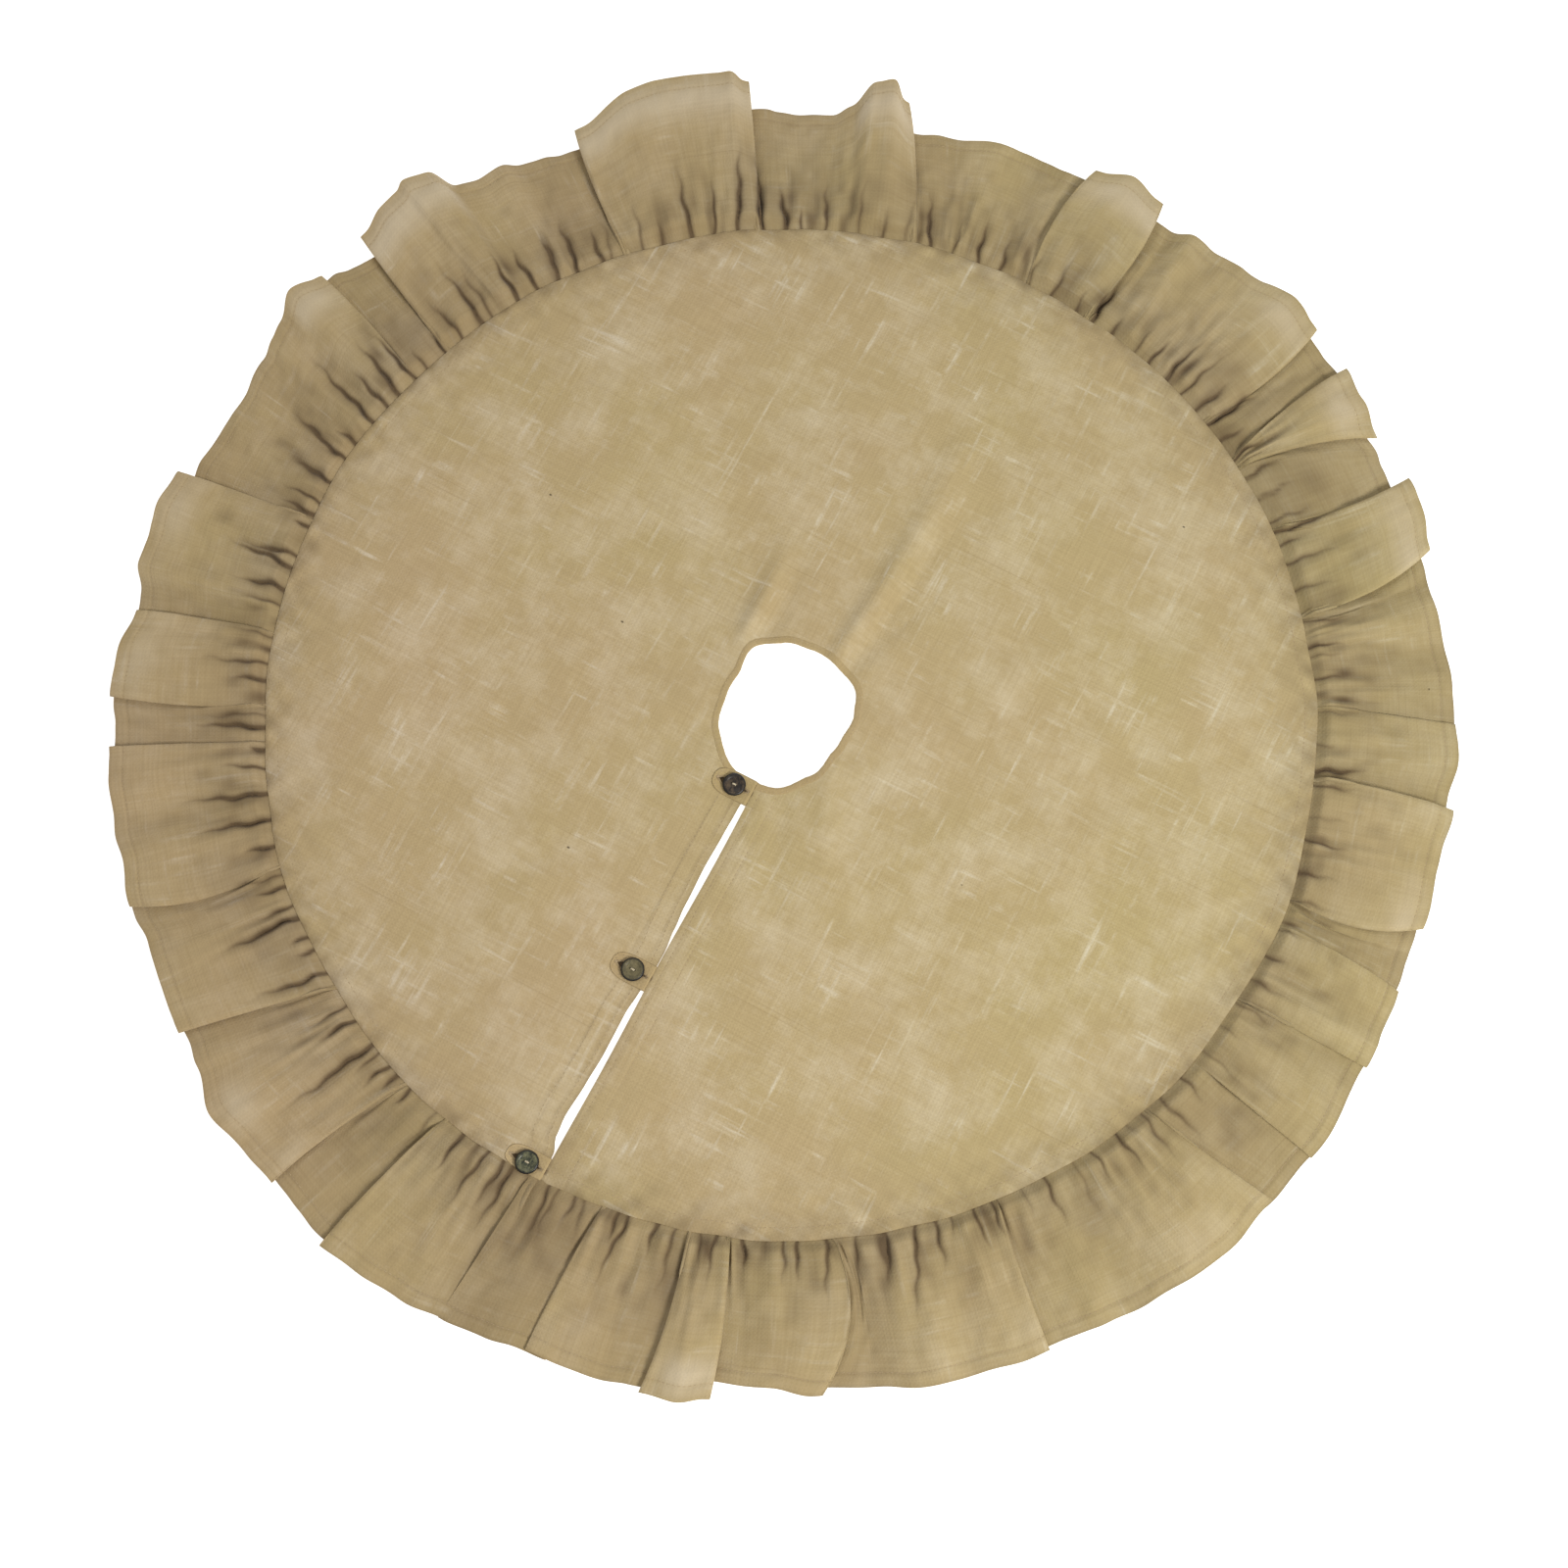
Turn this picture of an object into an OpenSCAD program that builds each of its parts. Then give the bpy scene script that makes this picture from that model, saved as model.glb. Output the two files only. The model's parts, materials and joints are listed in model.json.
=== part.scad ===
// Burlap tree skirt: a flat round panel with a trunk hole, a gathered ruffle round its edge
// and one straight slit that three buttoned tabs close.
// The origin is the centre of the trunk hole on the floor, +Z is up and the slit runs along -Y.
// Angles round the skirt start at the slit and turn towards +X.

/* [Panel] */
// Radius of the flat round panel, to its seam with the ruffle
panel_r = 477; // [440:1:520]
// Clear radius of the trunk hole, inside its binding
hole_r = 62; // [50:0.5:64]
// Thickness of the lined panel
panel_t = 1.6; // [1.6:0.1:2.4]
// Width of the open slit between its two edges
slit_w = 6; // [5:0.5:8]
// Angle from the slit to the crease that the right-hand side folds back along
fold_angle = 52; // [40:1:70]

/* [Ruffle] */
// Width of the ruffle from the panel edge to its hem
ruffle_w = 132.5; // [110:0.5:150]
// Height of a full ruffle fold at the hem
ruffle_h = 26; // [15:1:28]
// Thickness of the ruffle cloth
ruffle_t = 1.2; // [0.8:0.1:1.6]
// Number of ruffle folds on the fixed side
main_folds = 24; // [16:1:28]
// Number of ruffle folds on the side that opens
flap_folds = 4; // [3:1:5]

/* [Closure] */
// Distance of the first button from the middle of the trunk hole
first_button = 84; // [84:1:86]
// Distance between two buttons
button_step = 189; // [170:1:189]
// Distance of each button from the middle of the slit
button_x = 15; // [13:0.5:18]
// Radius of a button
button_r = 10.5; // [9:0.1:11.5]
// Thickness of a button
button_t = 3; // [2.6:0.1:4]
// Width of a tab across the slit's direction
tab_w = 25; // [20:1:28]
// Length of a tab from its sewn end to the tip
tab_len = 34; // [32:1:36]

/* [Hidden] */
$fn = 96;

// Cloth colours
burlap = "#B9A27A";
burlap_dark = "#A48C64";
burlap_light = "#C4B083";
thread_tan = "#D2C19B";
thread_cream = "#E3D8BC";
shell_dark = "#3B2C22";
shell_olive = "#5B5138";
shell_grey = "#4A4A42";

// Layers: facings, binding lips and the ruffle heading lie in half-depth recesses under the panel
ply = panel_t / 2;
cut = 1;
slit_x = slit_w / 2;
reach = 800;

// Neck binding: a folded strip that wraps the panel edge round the trunk hole
binding_r = hole_r + 8;
binding_gap = 0.1;
binding_top = panel_t + ply;

// Facings: doubled strips along both edges of the slit
facing_w = 22;
facing_start = binding_r + 2;
facing_end = panel_r - 12.5;

// Gathered heading of the ruffle under the panel edge
heading_r = panel_r - 11;
heading_gap = 0.5;
hem_r = panel_r + ruffle_w;
edge_r = panel_r + 0.3;
gather_r = panel_r + 2;
swell_r = panel_r + 53;
hem_stitch_r = hem_r - 9.5;
thread_w = 0.6;
thread_h = 0.5;
hem_thread_w = 2;
hem_thread_gap = 0.05;
// Samples of one fold, and the angle over which the folds die out towards the crease
fold_samples = 6;
crease_fade = 17;
// Share of the full fold height on each row of the ruffle
rows_r = [heading_r, edge_r, gather_r, swell_r, hem_stitch_r, hem_stitch_r + hem_thread_w, hem_r];
rows_rise = [0, 0, 0, 0.45, 0.94, 0.955, 1];
rows_t = [ply, ply, ruffle_t, ruffle_t, ruffle_t, ruffle_t, ruffle_t];
hem_row = 4;
// The ruffle stops short of the slit and of the crease by these angles
slit_trim = 0.45;
crease_trim = 0.05;
// The opening side keeps this clear of the crease line
crease_gap = 0.4;

// Topstitching on the panel
gather_stitch_r = heading_r;
neck_stitch_r = binding_r + 1;
facing_stitch_near = 10;
facing_stitch_far = 24;
facing_stitch_inset = 2;

// Tabs, buttons and their threads, by height above the floor
tab_z = 2.5;
tab_t = 1;
tab_edge = slit_x - 0.2;
buttonhole_l = 27;
buttonhole_w = 4.4;
buttonhole_x = tab_edge - 17;
buttonhole_edge_w = 1.2;
buttonhole_edge_t = 0.3;
pivot_z = 3;
shank_r = 1.2;
button_z = 4.3;
button_chamfer = 1;
dish_r = 7.5;
dish_depth = 0.8;
button_hole_r = 1;
button_hole_x = 1.8;
leg_r = 0.8;
bar_t = 0.7;
anchor_r = 1;
anchor_gap = 0.1;
anchor_top = 1.4;
anchor_bar = [6, 2, 0.4];
anchor_bar_z = 0.1;
button_ys = [for (i = [0:2]) -first_button - i * button_step];

// Point at angle a round the skirt, radius r and height z
function at(a, r, z) = [r * sin(a), -r * cos(a), z];

// The wedge between the slit and the crease, kept clear of the crease by gap
module opening_wedge(gap) {
    foot = [slit_x, (slit_x * cos(fold_angle) + gap) / -sin(fold_angle)];
    far = [reach * sin(fold_angle), -reach * cos(fold_angle)] - gap * [cos(fold_angle), sin(fold_angle)];
    translate([0, 0, -cut])
        linear_extrude(binding_top + thread_h + 2 * cut)
            polygon([foot, [slit_x, -reach], far]);
}

// The wedge that the fixed side leaves free: the slit and everything up to the crease
module fixed_side_cut() {
    foot = [-slit_x, slit_x / tan(fold_angle)];
    translate([0, 0, -cut])
        linear_extrude(binding_top + thread_h + 2 * cut)
            polygon([foot, [-slit_x, -reach], [reach * sin(fold_angle), -reach * cos(fold_angle)]]);
}

module fixed_side() {
    difference() {
        children();
        fixed_side_cut();
    }
}

module opening_side() {
    intersection() {
        children();
        opening_wedge(crease_gap);
    }
}

// A flat ring with its underside at z
module ring(inner, outer, z, t) {
    translate([0, 0, z])
        difference() {
            cylinder(r = outer, h = t);
            translate([0, 0, -cut]) cylinder(r = inner, h = t + 2 * cut);
        }
}

// The round panel, recessed underneath for the heading, the binding and a facing on side s
module panel(s) {
    difference() {
        cylinder(r = panel_r, h = panel_t);
        translate([0, 0, -cut]) cylinder(r = hole_r + ply + binding_gap, h = panel_t + 2 * cut);
        ring(hole_r, binding_r, -cut, ply + cut);
        ring(heading_r - heading_gap, panel_r + cut, -cut, ply + cut);
        facing(s, cut);
    }
}

// The facing strip on side s of the slit, extended down by deep
module facing(s, deep) {
    left = s < 0 ? -slit_x - facing_w : slit_x;
    translate([left, -facing_end, -deep]) cube([facing_w, facing_end - facing_start, ply + deep]);
}

module neck_binding() {
    rotate_extrude()
        polygon([
            [hole_r, 0], [binding_r, 0], [binding_r, ply], [hole_r + ply, ply],
            [hole_r + ply, panel_t], [binding_r, panel_t], [binding_r, binding_top],
            [hole_r, binding_top]
        ]);
}

// Two straight stitch lines along the facing on side s
module facing_topstitch(s) {
    y_far = -facing_end + facing_stitch_inset;
    run = facing_end - facing_start - 2 * facing_stitch_inset;
    for (x = [facing_stitch_near, facing_stitch_far])
        translate([s * x - thread_w / 2, y_far, panel_t]) cube([thread_w, run, thread_h]);
}

// Height of the ruffle underside at angle a on a row, for folds spread from angle a0 to a1
function fold_z(a, row, a0, a1, folds) =
    let (wave = (1 - cos(360 * folds * (a - a0) / (a1 - a0))) / 2,
         fade = min(1, abs(a - fold_angle) / crease_fade))
    ruffle_h * rows_rise[row] * wave * fade;

// A closed strip: each section is a ring of points, its underside outwards and then its top back
// inwards. Underside and top share their diagonals, so the cloth keeps its thickness between them.
module swept_strip(sections) {
    n = len(sections[0]);
    last = len(sections) - 1;
    sides = [for (i = [0:last - 1], j = [0:n - 1])
        let (k = (j + 1) % n, p = i * n, q = (i + 1) * n)
        each j < n / 2 ?
            [[p + j, p + k, q + k], [p + j, q + k, q + j]] :
            [[p + j, p + k, q + j], [p + k, q + k, q + j]]];
    start_cap = [for (j = [0:n / 2 - 2])
        each [[j, n - 1 - j, j + 1], [j + 1, n - 1 - j, n - 2 - j]]];
    end_cap = [for (f = start_cap) [last * n + f[0], last * n + f[2], last * n + f[1]]];
    polyhedron(points = [for (s = sections) each s], faces = concat(sides, start_cap, end_cap));
}

// The gathered strip from angle a0 to a1
module ruffle(a0, a1, folds) {
    top_row = len(rows_r) - 1;
    columns = folds * fold_samples;
    swept_strip([for (c = [0:columns])
        let (a = a0 + (a1 - a0) * c / columns)
        concat(
            [for (row = [0:top_row]) at(a, rows_r[row], fold_z(a, row, a0, a1, folds))],
            [for (row = [top_row:-1:0]) at(a, rows_r[row], fold_z(a, row, a0, a1, folds) + rows_t[row])]
        )]);
}

// The hem stitching, which follows the folds just above the cloth
module hem_thread(a0, a1, folds) {
    columns = folds * fold_samples;
    swept_strip([for (c = [0:columns])
        let (a = a0 + (a1 - a0) * c / columns,
             inner_z = fold_z(a, hem_row, a0, a1, folds) + ruffle_t + hem_thread_gap,
             outer_z = fold_z(a, hem_row + 1, a0, a1, folds) + ruffle_t + hem_thread_gap)
        [
            at(a, rows_r[hem_row], inner_z),
            at(a, rows_r[hem_row + 1], outer_z),
            at(a, rows_r[hem_row + 1], outer_z + thread_h),
            at(a, rows_r[hem_row], inner_z + thread_h)
        ]]);
}

// The eye-shaped buttonhole, grown all round by grow: two arcs that cross at its corners
module eye(grow, z, t) {
    half_l = buttonhole_l / 2 + grow;
    half_w = buttonhole_w / 2 + grow;
    arc_r = (half_l * half_l + half_w * half_w) / (2 * half_w);
    translate([buttonhole_x, 0, z])
        intersection() {
            translate([0, arc_r - half_w, 0]) cylinder(r = arc_r, h = t);
            translate([0, half_w - arc_r, 0]) cylinder(r = arc_r, h = t);
        }
}

module tab(y) {
    tip_r = tab_w / 2;
    straight = tab_len - tip_r;
    translate([0, y, 0])
        difference() {
            union() {
                translate([tab_edge - straight, -tip_r, tab_z]) cube([straight, tab_w, tab_t]);
                translate([tab_edge - straight, 0, tab_z]) cylinder(r = tip_r, h = tab_t);
            }
            eye(0, tab_z - cut, tab_t + 2 * cut);
        }
}

// Overcast stitching round a buttonhole
module buttonhole_stitch(y) {
    translate([0, y, 0])
        difference() {
            intersection() {
                eye(buttonhole_edge_w, tab_z + tab_t, buttonhole_edge_t);
                translate([tab_edge - tab_len, -tab_w / 2, 0]) cube([tab_len, tab_w, reach]);
            }
            eye(0, tab_z, tab_t + 2 * cut);
        }
}

// The wound thread that holds a button clear of the cloth
module thread_shank(y) {
    translate([-button_x, y, pivot_z]) sphere(r = shank_r);
}

module button(y) {
    chamfer = button_chamfer;
    translate([-button_x, y, button_z])
        difference() {
            rotate_extrude()
                polygon([
                    [0, 0], [button_r - chamfer, 0], [button_r, chamfer],
                    [button_r, button_t - chamfer], [button_r - chamfer, button_t],
                    [dish_r, button_t], [dish_r - chamfer, button_t - dish_depth],
                    [0, button_t - dish_depth]
                ]);
            for (s = [-1, 1])
                translate([s * button_hole_x, 0, -cut])
                    cylinder(r = button_hole_r, h = button_t + 2 * cut);
        }
}

// Thread through the two holes of a button, with a bar across its dish
module button_stitch(y) {
    floor_z = button_t - dish_depth;
    translate([-button_x, y, button_z]) {
        for (s = [-1, 1])
            translate([s * button_hole_x, 0, 0]) cylinder(r = leg_r, h = floor_z + bar_t);
        translate([-button_hole_x, -leg_r, floor_z])
            cube([2 * button_hole_x, 2 * leg_r, bar_t]);
    }
}

// Thread that passes from each shank down through the panel and the facing, grown by grow
module anchor_stitches(grow) {
    bar = anchor_bar + [2 * grow, 2 * grow, grow];
    for (y = button_ys)
        translate([-button_x, y, 0]) {
            translate([0, 0, anchor_bar_z]) cylinder(r = anchor_r + grow, h = anchor_top - anchor_bar_z + grow);
            translate([-bar[0] / 2, -bar[1] / 2, anchor_bar_z - (grow > 0 ? cut : 0)])
                cube(bar + [0, 0, grow > 0 ? cut : 0]);
        }
}

// Fixed side
module panel_main() {
    color(burlap)
        difference() {
            fixed_side() panel(-1);
            anchor_stitches(anchor_gap);
        }
}

module neck_binding_main() {
    color(burlap_light) fixed_side() neck_binding();
}

module slit_facing_left() {
    color(burlap_dark)
        difference() {
            facing(-1, 0);
            anchor_stitches(anchor_gap);
        }
}

module ruffle_main() {
    color(burlap_light) ruffle(fold_angle, 360 - slit_trim, main_folds);
}

module gather_topstitch_main() {
    color(thread_tan)
        fixed_side() ring(gather_stitch_r, gather_stitch_r + thread_w, panel_t, thread_h);
}

module neck_topstitch_main() {
    color(thread_tan)
        fixed_side() ring(neck_stitch_r, neck_stitch_r + thread_w, panel_t, thread_h);
}

module facing_topstitch_left() {
    color(thread_tan) facing_topstitch(-1);
}

module hem_thread_main() {
    color(thread_tan) hem_thread(fold_angle, 360 - slit_trim, main_folds);
}

module button_anchor_stitches() {
    color(thread_cream) anchor_stitches(0);
}

// Opening side
module panel_flap() {
    color(burlap) opening_side() panel(1);
}

module neck_binding_flap() {
    color(burlap_light) opening_side() neck_binding();
}

module slit_facing_right() {
    color(burlap_dark) facing(1, 0);
}

module ruffle_flap() {
    color(burlap_light) ruffle(slit_trim, fold_angle - crease_trim, flap_folds);
}

module gather_topstitch_flap() {
    color(thread_tan)
        opening_side() ring(gather_stitch_r, gather_stitch_r + thread_w, panel_t, thread_h);
}

module neck_topstitch_flap() {
    color(thread_tan)
        opening_side() ring(neck_stitch_r, neck_stitch_r + thread_w, panel_t, thread_h);
}

module facing_topstitch_right() {
    color(thread_tan) facing_topstitch(1);
}

module hem_thread_flap() {
    color(thread_tan) hem_thread(slit_trim, fold_angle - crease_trim, flap_folds);
}

panel_main();
neck_binding_main();
slit_facing_left();
ruffle_main();
gather_topstitch_main();
neck_topstitch_main();
facing_topstitch_left();
hem_thread_main();
button_anchor_stitches();
panel_flap();
neck_binding_flap();
slit_facing_right();
ruffle_flap();
gather_topstitch_flap();
neck_topstitch_flap();
facing_topstitch_right();
hem_thread_flap();
color(burlap) tab(button_ys[0]);  // tab_upper
color(burlap) tab(button_ys[1]);  // tab_middle
color(burlap) tab(button_ys[2]);  // tab_lower
color(thread_tan) buttonhole_stitch(button_ys[0]);  // buttonhole_stitch_upper
color(thread_tan) buttonhole_stitch(button_ys[1]);  // buttonhole_stitch_middle
color(thread_tan) buttonhole_stitch(button_ys[2]);  // buttonhole_stitch_lower
color(thread_cream) thread_shank(button_ys[0]);  // thread_shank_upper
color(thread_cream) thread_shank(button_ys[1]);  // thread_shank_middle
color(thread_cream) thread_shank(button_ys[2]);  // thread_shank_lower
color(shell_dark) button(button_ys[0]);  // button_upper
color(shell_olive) button(button_ys[1]);  // button_middle
color(shell_grey) button(button_ys[2]);  // button_lower
color(thread_cream) button_stitch(button_ys[0]);  // button_stitch_upper
color(thread_cream) button_stitch(button_ys[1]);  // button_stitch_middle
color(thread_cream) button_stitch(button_ys[2]);  // button_stitch_lower
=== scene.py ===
import json
import math

import bmesh
import bpy
import numpy as np
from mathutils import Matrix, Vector


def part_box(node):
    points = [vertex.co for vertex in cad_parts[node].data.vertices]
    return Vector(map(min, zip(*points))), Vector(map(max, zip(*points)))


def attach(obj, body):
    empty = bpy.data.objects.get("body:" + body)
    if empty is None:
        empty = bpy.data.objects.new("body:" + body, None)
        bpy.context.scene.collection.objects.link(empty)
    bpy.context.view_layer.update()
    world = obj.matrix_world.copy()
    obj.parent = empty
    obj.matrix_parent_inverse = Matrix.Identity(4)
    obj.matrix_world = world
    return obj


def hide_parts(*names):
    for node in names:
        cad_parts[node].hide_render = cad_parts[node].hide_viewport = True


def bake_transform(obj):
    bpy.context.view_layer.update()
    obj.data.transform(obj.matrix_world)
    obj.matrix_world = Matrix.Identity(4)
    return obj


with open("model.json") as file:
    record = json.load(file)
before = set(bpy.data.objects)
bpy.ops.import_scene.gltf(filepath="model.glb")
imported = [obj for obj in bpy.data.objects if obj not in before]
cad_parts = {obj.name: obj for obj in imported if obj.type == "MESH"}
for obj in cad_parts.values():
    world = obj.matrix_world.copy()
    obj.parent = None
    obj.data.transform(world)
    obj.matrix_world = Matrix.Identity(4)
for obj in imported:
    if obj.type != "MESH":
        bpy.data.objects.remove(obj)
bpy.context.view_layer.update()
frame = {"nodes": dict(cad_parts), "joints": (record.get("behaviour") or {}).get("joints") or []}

# Lengths are in metres and angles in degrees. Angles round the skirt start at the slit, which
# runs along -Y, and turn towards +X.
MM = 0.001

# Sizes and places taken from the frame
PANEL_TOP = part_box("panel_main")[1].z
SEAM_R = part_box("panel_main")[1].y
HEM_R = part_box("ruffle_main")[1].y
RIGHT_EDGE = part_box("slit_facing_right")[0].x
FOLD_AXIS = next(j["axis"] for j in frame["joints"] if j["name"] == "flap_open")
FOLD_ANGLE = math.degrees(math.atan2(-FOLD_AXIS[0], FOLD_AXIS[1]))
PLACES = ("upper", "middle", "lower")
BUTTONS = {p: sum(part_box("button_" + p), Vector()) / 2 for p in PLACES}
BUTTON_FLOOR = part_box("button_upper")[0].z
BUTTON_R = (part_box("button_upper")[1].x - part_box("button_upper")[0].x) / 2
TAB_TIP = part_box("tab_upper")[0].x
TAB_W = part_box("tab_upper")[1].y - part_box("tab_upper")[0].y

UP = np.array([0.0, 0.0, 1.0])
CLOTH_T = 0.9 * MM
TRUNK_HOLE_R = 62 * MM
FACING_W = 22 * MM
FACING_T = 0.7 * MM
FACING_REACH = RIGHT_EDGE + FACING_W
# Faces that meet at more than this angle keep a sharp edge
SHARP_ANGLE = math.radians(70)


# ---------------------------------------------------------------- small helpers

def smoothstep(x):
    x = np.clip(x, 0, 1)
    return x * x * (3 - 2 * x)


def around(angle, radius, z):
    """Points at an angle round the skirt, a radius and a height."""
    a = np.radians(angle)
    return np.stack(np.broadcast_arrays(radius * np.sin(a), -radius * np.cos(a), z), -1)


def ripples(seed, count, shortest, longest):
    """A smooth random field: a sum of plane waves between two wavelengths, about -1 to 1."""
    rng = np.random.default_rng(seed)
    length = rng.uniform(shortest, longest, count)
    heading = rng.uniform(0, 2 * np.pi, count)
    phase = rng.uniform(0, 2 * np.pi, count)
    kx = 2 * np.pi * np.cos(heading) / length
    ky = 2 * np.pi * np.sin(heading) / length

    def field(x, y):
        total = 0
        for i in range(count):
            total = total + np.sin(kx[i] * x + ky[i] * y + phase[i])
        return total / math.sqrt(count / 2) / 1.6

    return field


def spaced(count, density):
    """Shares 0..1, closer together where the density is high."""
    fine = np.linspace(0, 1, 4001)
    total = np.cumsum(density(fine))
    total = (total - total[0]) / (total[-1] - total[0])
    return np.interp(np.linspace(0, 1, count), total, fine)


def eased(x, places, values):
    """Values at places in between, with a level start and end at each of them."""
    at = np.clip(np.searchsorted(places, x, side="right") - 1, 0, len(places) - 2)
    share = smoothstep((x - places[at]) / (places[at + 1] - places[at]))
    return values[at] * (1 - share) + values[at + 1] * share


def round_curve(points):
    """A closed smooth curve through (angle, value) pairs."""
    first, last = points[0], points[-1]
    points = [(last[0] - 360, last[1]), *points, (first[0] + 360, first[1])]
    angles, values = np.array(points, float).T
    return lambda angle: eased(np.mod(angle, 360), angles, values)


def make_mesh(name, points, quads, weave=None, shade=None):
    """A smooth-shaded mesh from quads, with its cloth coordinates and its darkening, mostly painted shade and
    highlight.
    """
    mesh = bpy.data.meshes.new(name)
    points = np.asarray(points, np.float32).reshape(-1, 3)
    quads = np.asarray(quads, np.int32).reshape(-1, 4)
    mesh.vertices.add(len(points))
    mesh.vertices.foreach_set("co", points.ravel())
    mesh.loops.add(quads.size)
    mesh.loops.foreach_set("vertex_index", quads.ravel())
    mesh.polygons.add(len(quads))
    mesh.polygons.foreach_set("loop_start", np.arange(0, quads.size, 4, dtype=np.int32))
    mesh.polygons.foreach_set("use_smooth", np.ones(len(quads), bool))
    if weave is not None:
        layer = mesh.attributes.new("weave", "FLOAT_VECTOR", "POINT")
        layer.data.foreach_set("vector", np.asarray(weave, np.float32).ravel())
    if shade is not None:
        layer = mesh.attributes.new("tone_and_painted_light", "FLOAT", "POINT")
        layer.data.foreach_set("value", np.asarray(shade, np.float32).ravel())
    mesh.update(calc_edges=True)
    mesh.validate()
    mesh.set_sharp_from_angle(angle=SHARP_ANGLE)
    piece = bpy.data.objects.new(name, mesh)
    bpy.context.scene.collection.objects.link(piece)
    return piece


def grid_normals(points):
    """Unit normals of a grid of points, on the side that a turn from columns to rows faces."""
    along = np.gradient(points, axis=1)
    across = np.gradient(points, axis=0)
    normal = np.cross(along, across)
    return normal / np.maximum(np.linalg.norm(normal, axis=-1, keepdims=True), 1e-12)


def grid_quads(rows, columns, start=0, flip=False):
    r, c = np.meshgrid(np.arange(rows - 1), np.arange(columns - 1), indexing="ij")
    first = start + r * columns + c
    quads = np.stack([first, first + 1, first + columns + 1, first + columns], -1).reshape(-1, 4)
    return quads[:, ::-1] if flip else quads


def border_quads(rows, columns):
    """The thin faces that close a grid and its underside into one solid."""
    index = np.arange(rows * columns).reshape(rows, columns)
    ring = np.concatenate([index[0], index[1:, -1], index[-1, -2::-1], index[-2:0:-1, 0]])
    after = np.roll(ring, -1)
    under = rows * columns
    return np.stack([ring, ring + under, after + under, after], -1)


def cloth(name, points, weave, thickness, shade, material):
    """A sheet of cloth from a grid of points on its upper face, closed at its thickness below."""
    rows, columns = points.shape[:2]
    normal = grid_normals(points)
    turned = bool(normal[..., 2].mean() < 0)
    if turned:
        normal = -normal
    lower = points - normal * thickness
    border = border_quads(rows, columns)
    quads = np.concatenate([
        grid_quads(rows, columns, 0, turned),
        grid_quads(rows, columns, rows * columns, not turned),
        border[:, ::-1] if turned else border,
    ])
    points = np.concatenate([points.reshape(-1, 3), lower.reshape(-1, 3)])
    weave = np.concatenate([weave.reshape(-1, 3)] * 2)
    shade = np.concatenate([shade.ravel()] * 2)
    piece = make_mesh(name, points, quads, weave, shade)
    piece.data.materials.append(material)
    return piece


def tube_quads(rings, sides, start=0):
    """Side faces of a closed tube and its two flat ends, for an even number of sides."""
    r, s = np.meshgrid(np.arange(rings - 1), np.arange(sides), indexing="ij")
    n = (s + 1) % sides
    first = start + r * sides
    side = np.stack([first + s, first + n, first + sides + n, first + sides + s], -1).reshape(-1, 4)
    ends = []
    for j in range(sides // 2 - 1):
        ends.append([start + j, start + sides - 1 - j, start + sides - 2 - j, start + j + 1])
        top = start + (rings - 1) * sides
        ends.append([top + j + 1, top + sides - 2 - j, top + sides - 1 - j, top + j])
    return np.concatenate([side, np.array(ends)[:, ::-1]])


def stitch_row(name, path, up, material, length=3.4 * MM, gap=1.2 * MM, radius=0.38 * MM):
    """Running stitches along a path: each one a short thread that dips into the cloth."""
    sides, rings = 6, 6
    step = np.linalg.norm(np.diff(path, axis=0), axis=1)
    reach = np.concatenate([[0], np.cumsum(step)])
    count = max(1, int((reach[-1] - length) / (length + gap)) + 1)
    starts = np.arange(count) * (length + gap)
    share = np.linspace(0, 1, rings)
    at = starts[:, None] + share[None, :] * length
    centre = np.stack([np.interp(at, reach, path[:, k]) for k in range(3)], -1)
    lift = np.stack([np.interp(at, reach, up[:, k]) for k in range(3)], -1)
    lift /= np.linalg.norm(lift, axis=-1, keepdims=True)
    ahead = np.gradient(centre, axis=1)
    ahead /= np.maximum(np.linalg.norm(ahead, axis=-1, keepdims=True), 1e-9)
    aside = np.cross(ahead, lift)
    arch = np.sin(np.pi * share)
    centre = centre + lift * (radius * (0.5 * arch - 0.45))[None, :, None]
    girth = radius * (0.45 + 0.55 * np.sqrt(arch))
    turn = 2 * np.pi * np.arange(sides) / sides
    spread = (np.cos(turn)[None, None, :, None] * aside[:, :, None, :]
              + np.sin(turn)[None, None, :, None] * lift[:, :, None, :])
    points = centre[:, :, None, :] + spread * girth[None, :, None, None]
    one = tube_quads(rings, sides)
    quads = one[None] + (np.arange(count) * rings * sides)[:, None, None]
    piece = make_mesh(name, points, quads)
    piece.data.materials.append(material)
    return piece


def thread(name, strands, radius, material, sides=8):
    """One or more smooth threads, each swept along its own list of points."""
    points, quads, start = [], [], 0
    turn = 2 * np.pi * np.arange(sides) / sides
    for strand in strands:
        strand = np.asarray(strand, float)
        ahead = np.gradient(strand, axis=0)
        ahead /= np.maximum(np.linalg.norm(ahead, axis=1, keepdims=True), 1e-12)
        side = np.cross(ahead, [0.13, 0.21, 1.0])
        side /= np.maximum(np.linalg.norm(side, axis=1, keepdims=True), 1e-12)
        other = np.cross(side, ahead)
        ring = (strand[:, None] + radius * (np.cos(turn)[None, :, None] * side[:, None]
                + np.sin(turn)[None, :, None] * other[:, None]))
        points.append(ring.reshape(-1, 3))
        quads.append(tube_quads(len(strand), sides, start))
        start += len(strand) * sides
    piece = make_mesh(name, np.concatenate(points), np.concatenate(quads))
    piece.data.materials.append(material)
    return piece


# ---------------------------------------------------------------- camera, light and floor

CAMERA_AZIMUTH = 27.0
CAMERA_ELEVATION = 73.6
CAMERA_DISTANCE = 2.2
CAMERA_AIM = (-0.0071, -0.0656)
LENS = 56.03
FLOOR_REACH = 20


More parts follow.
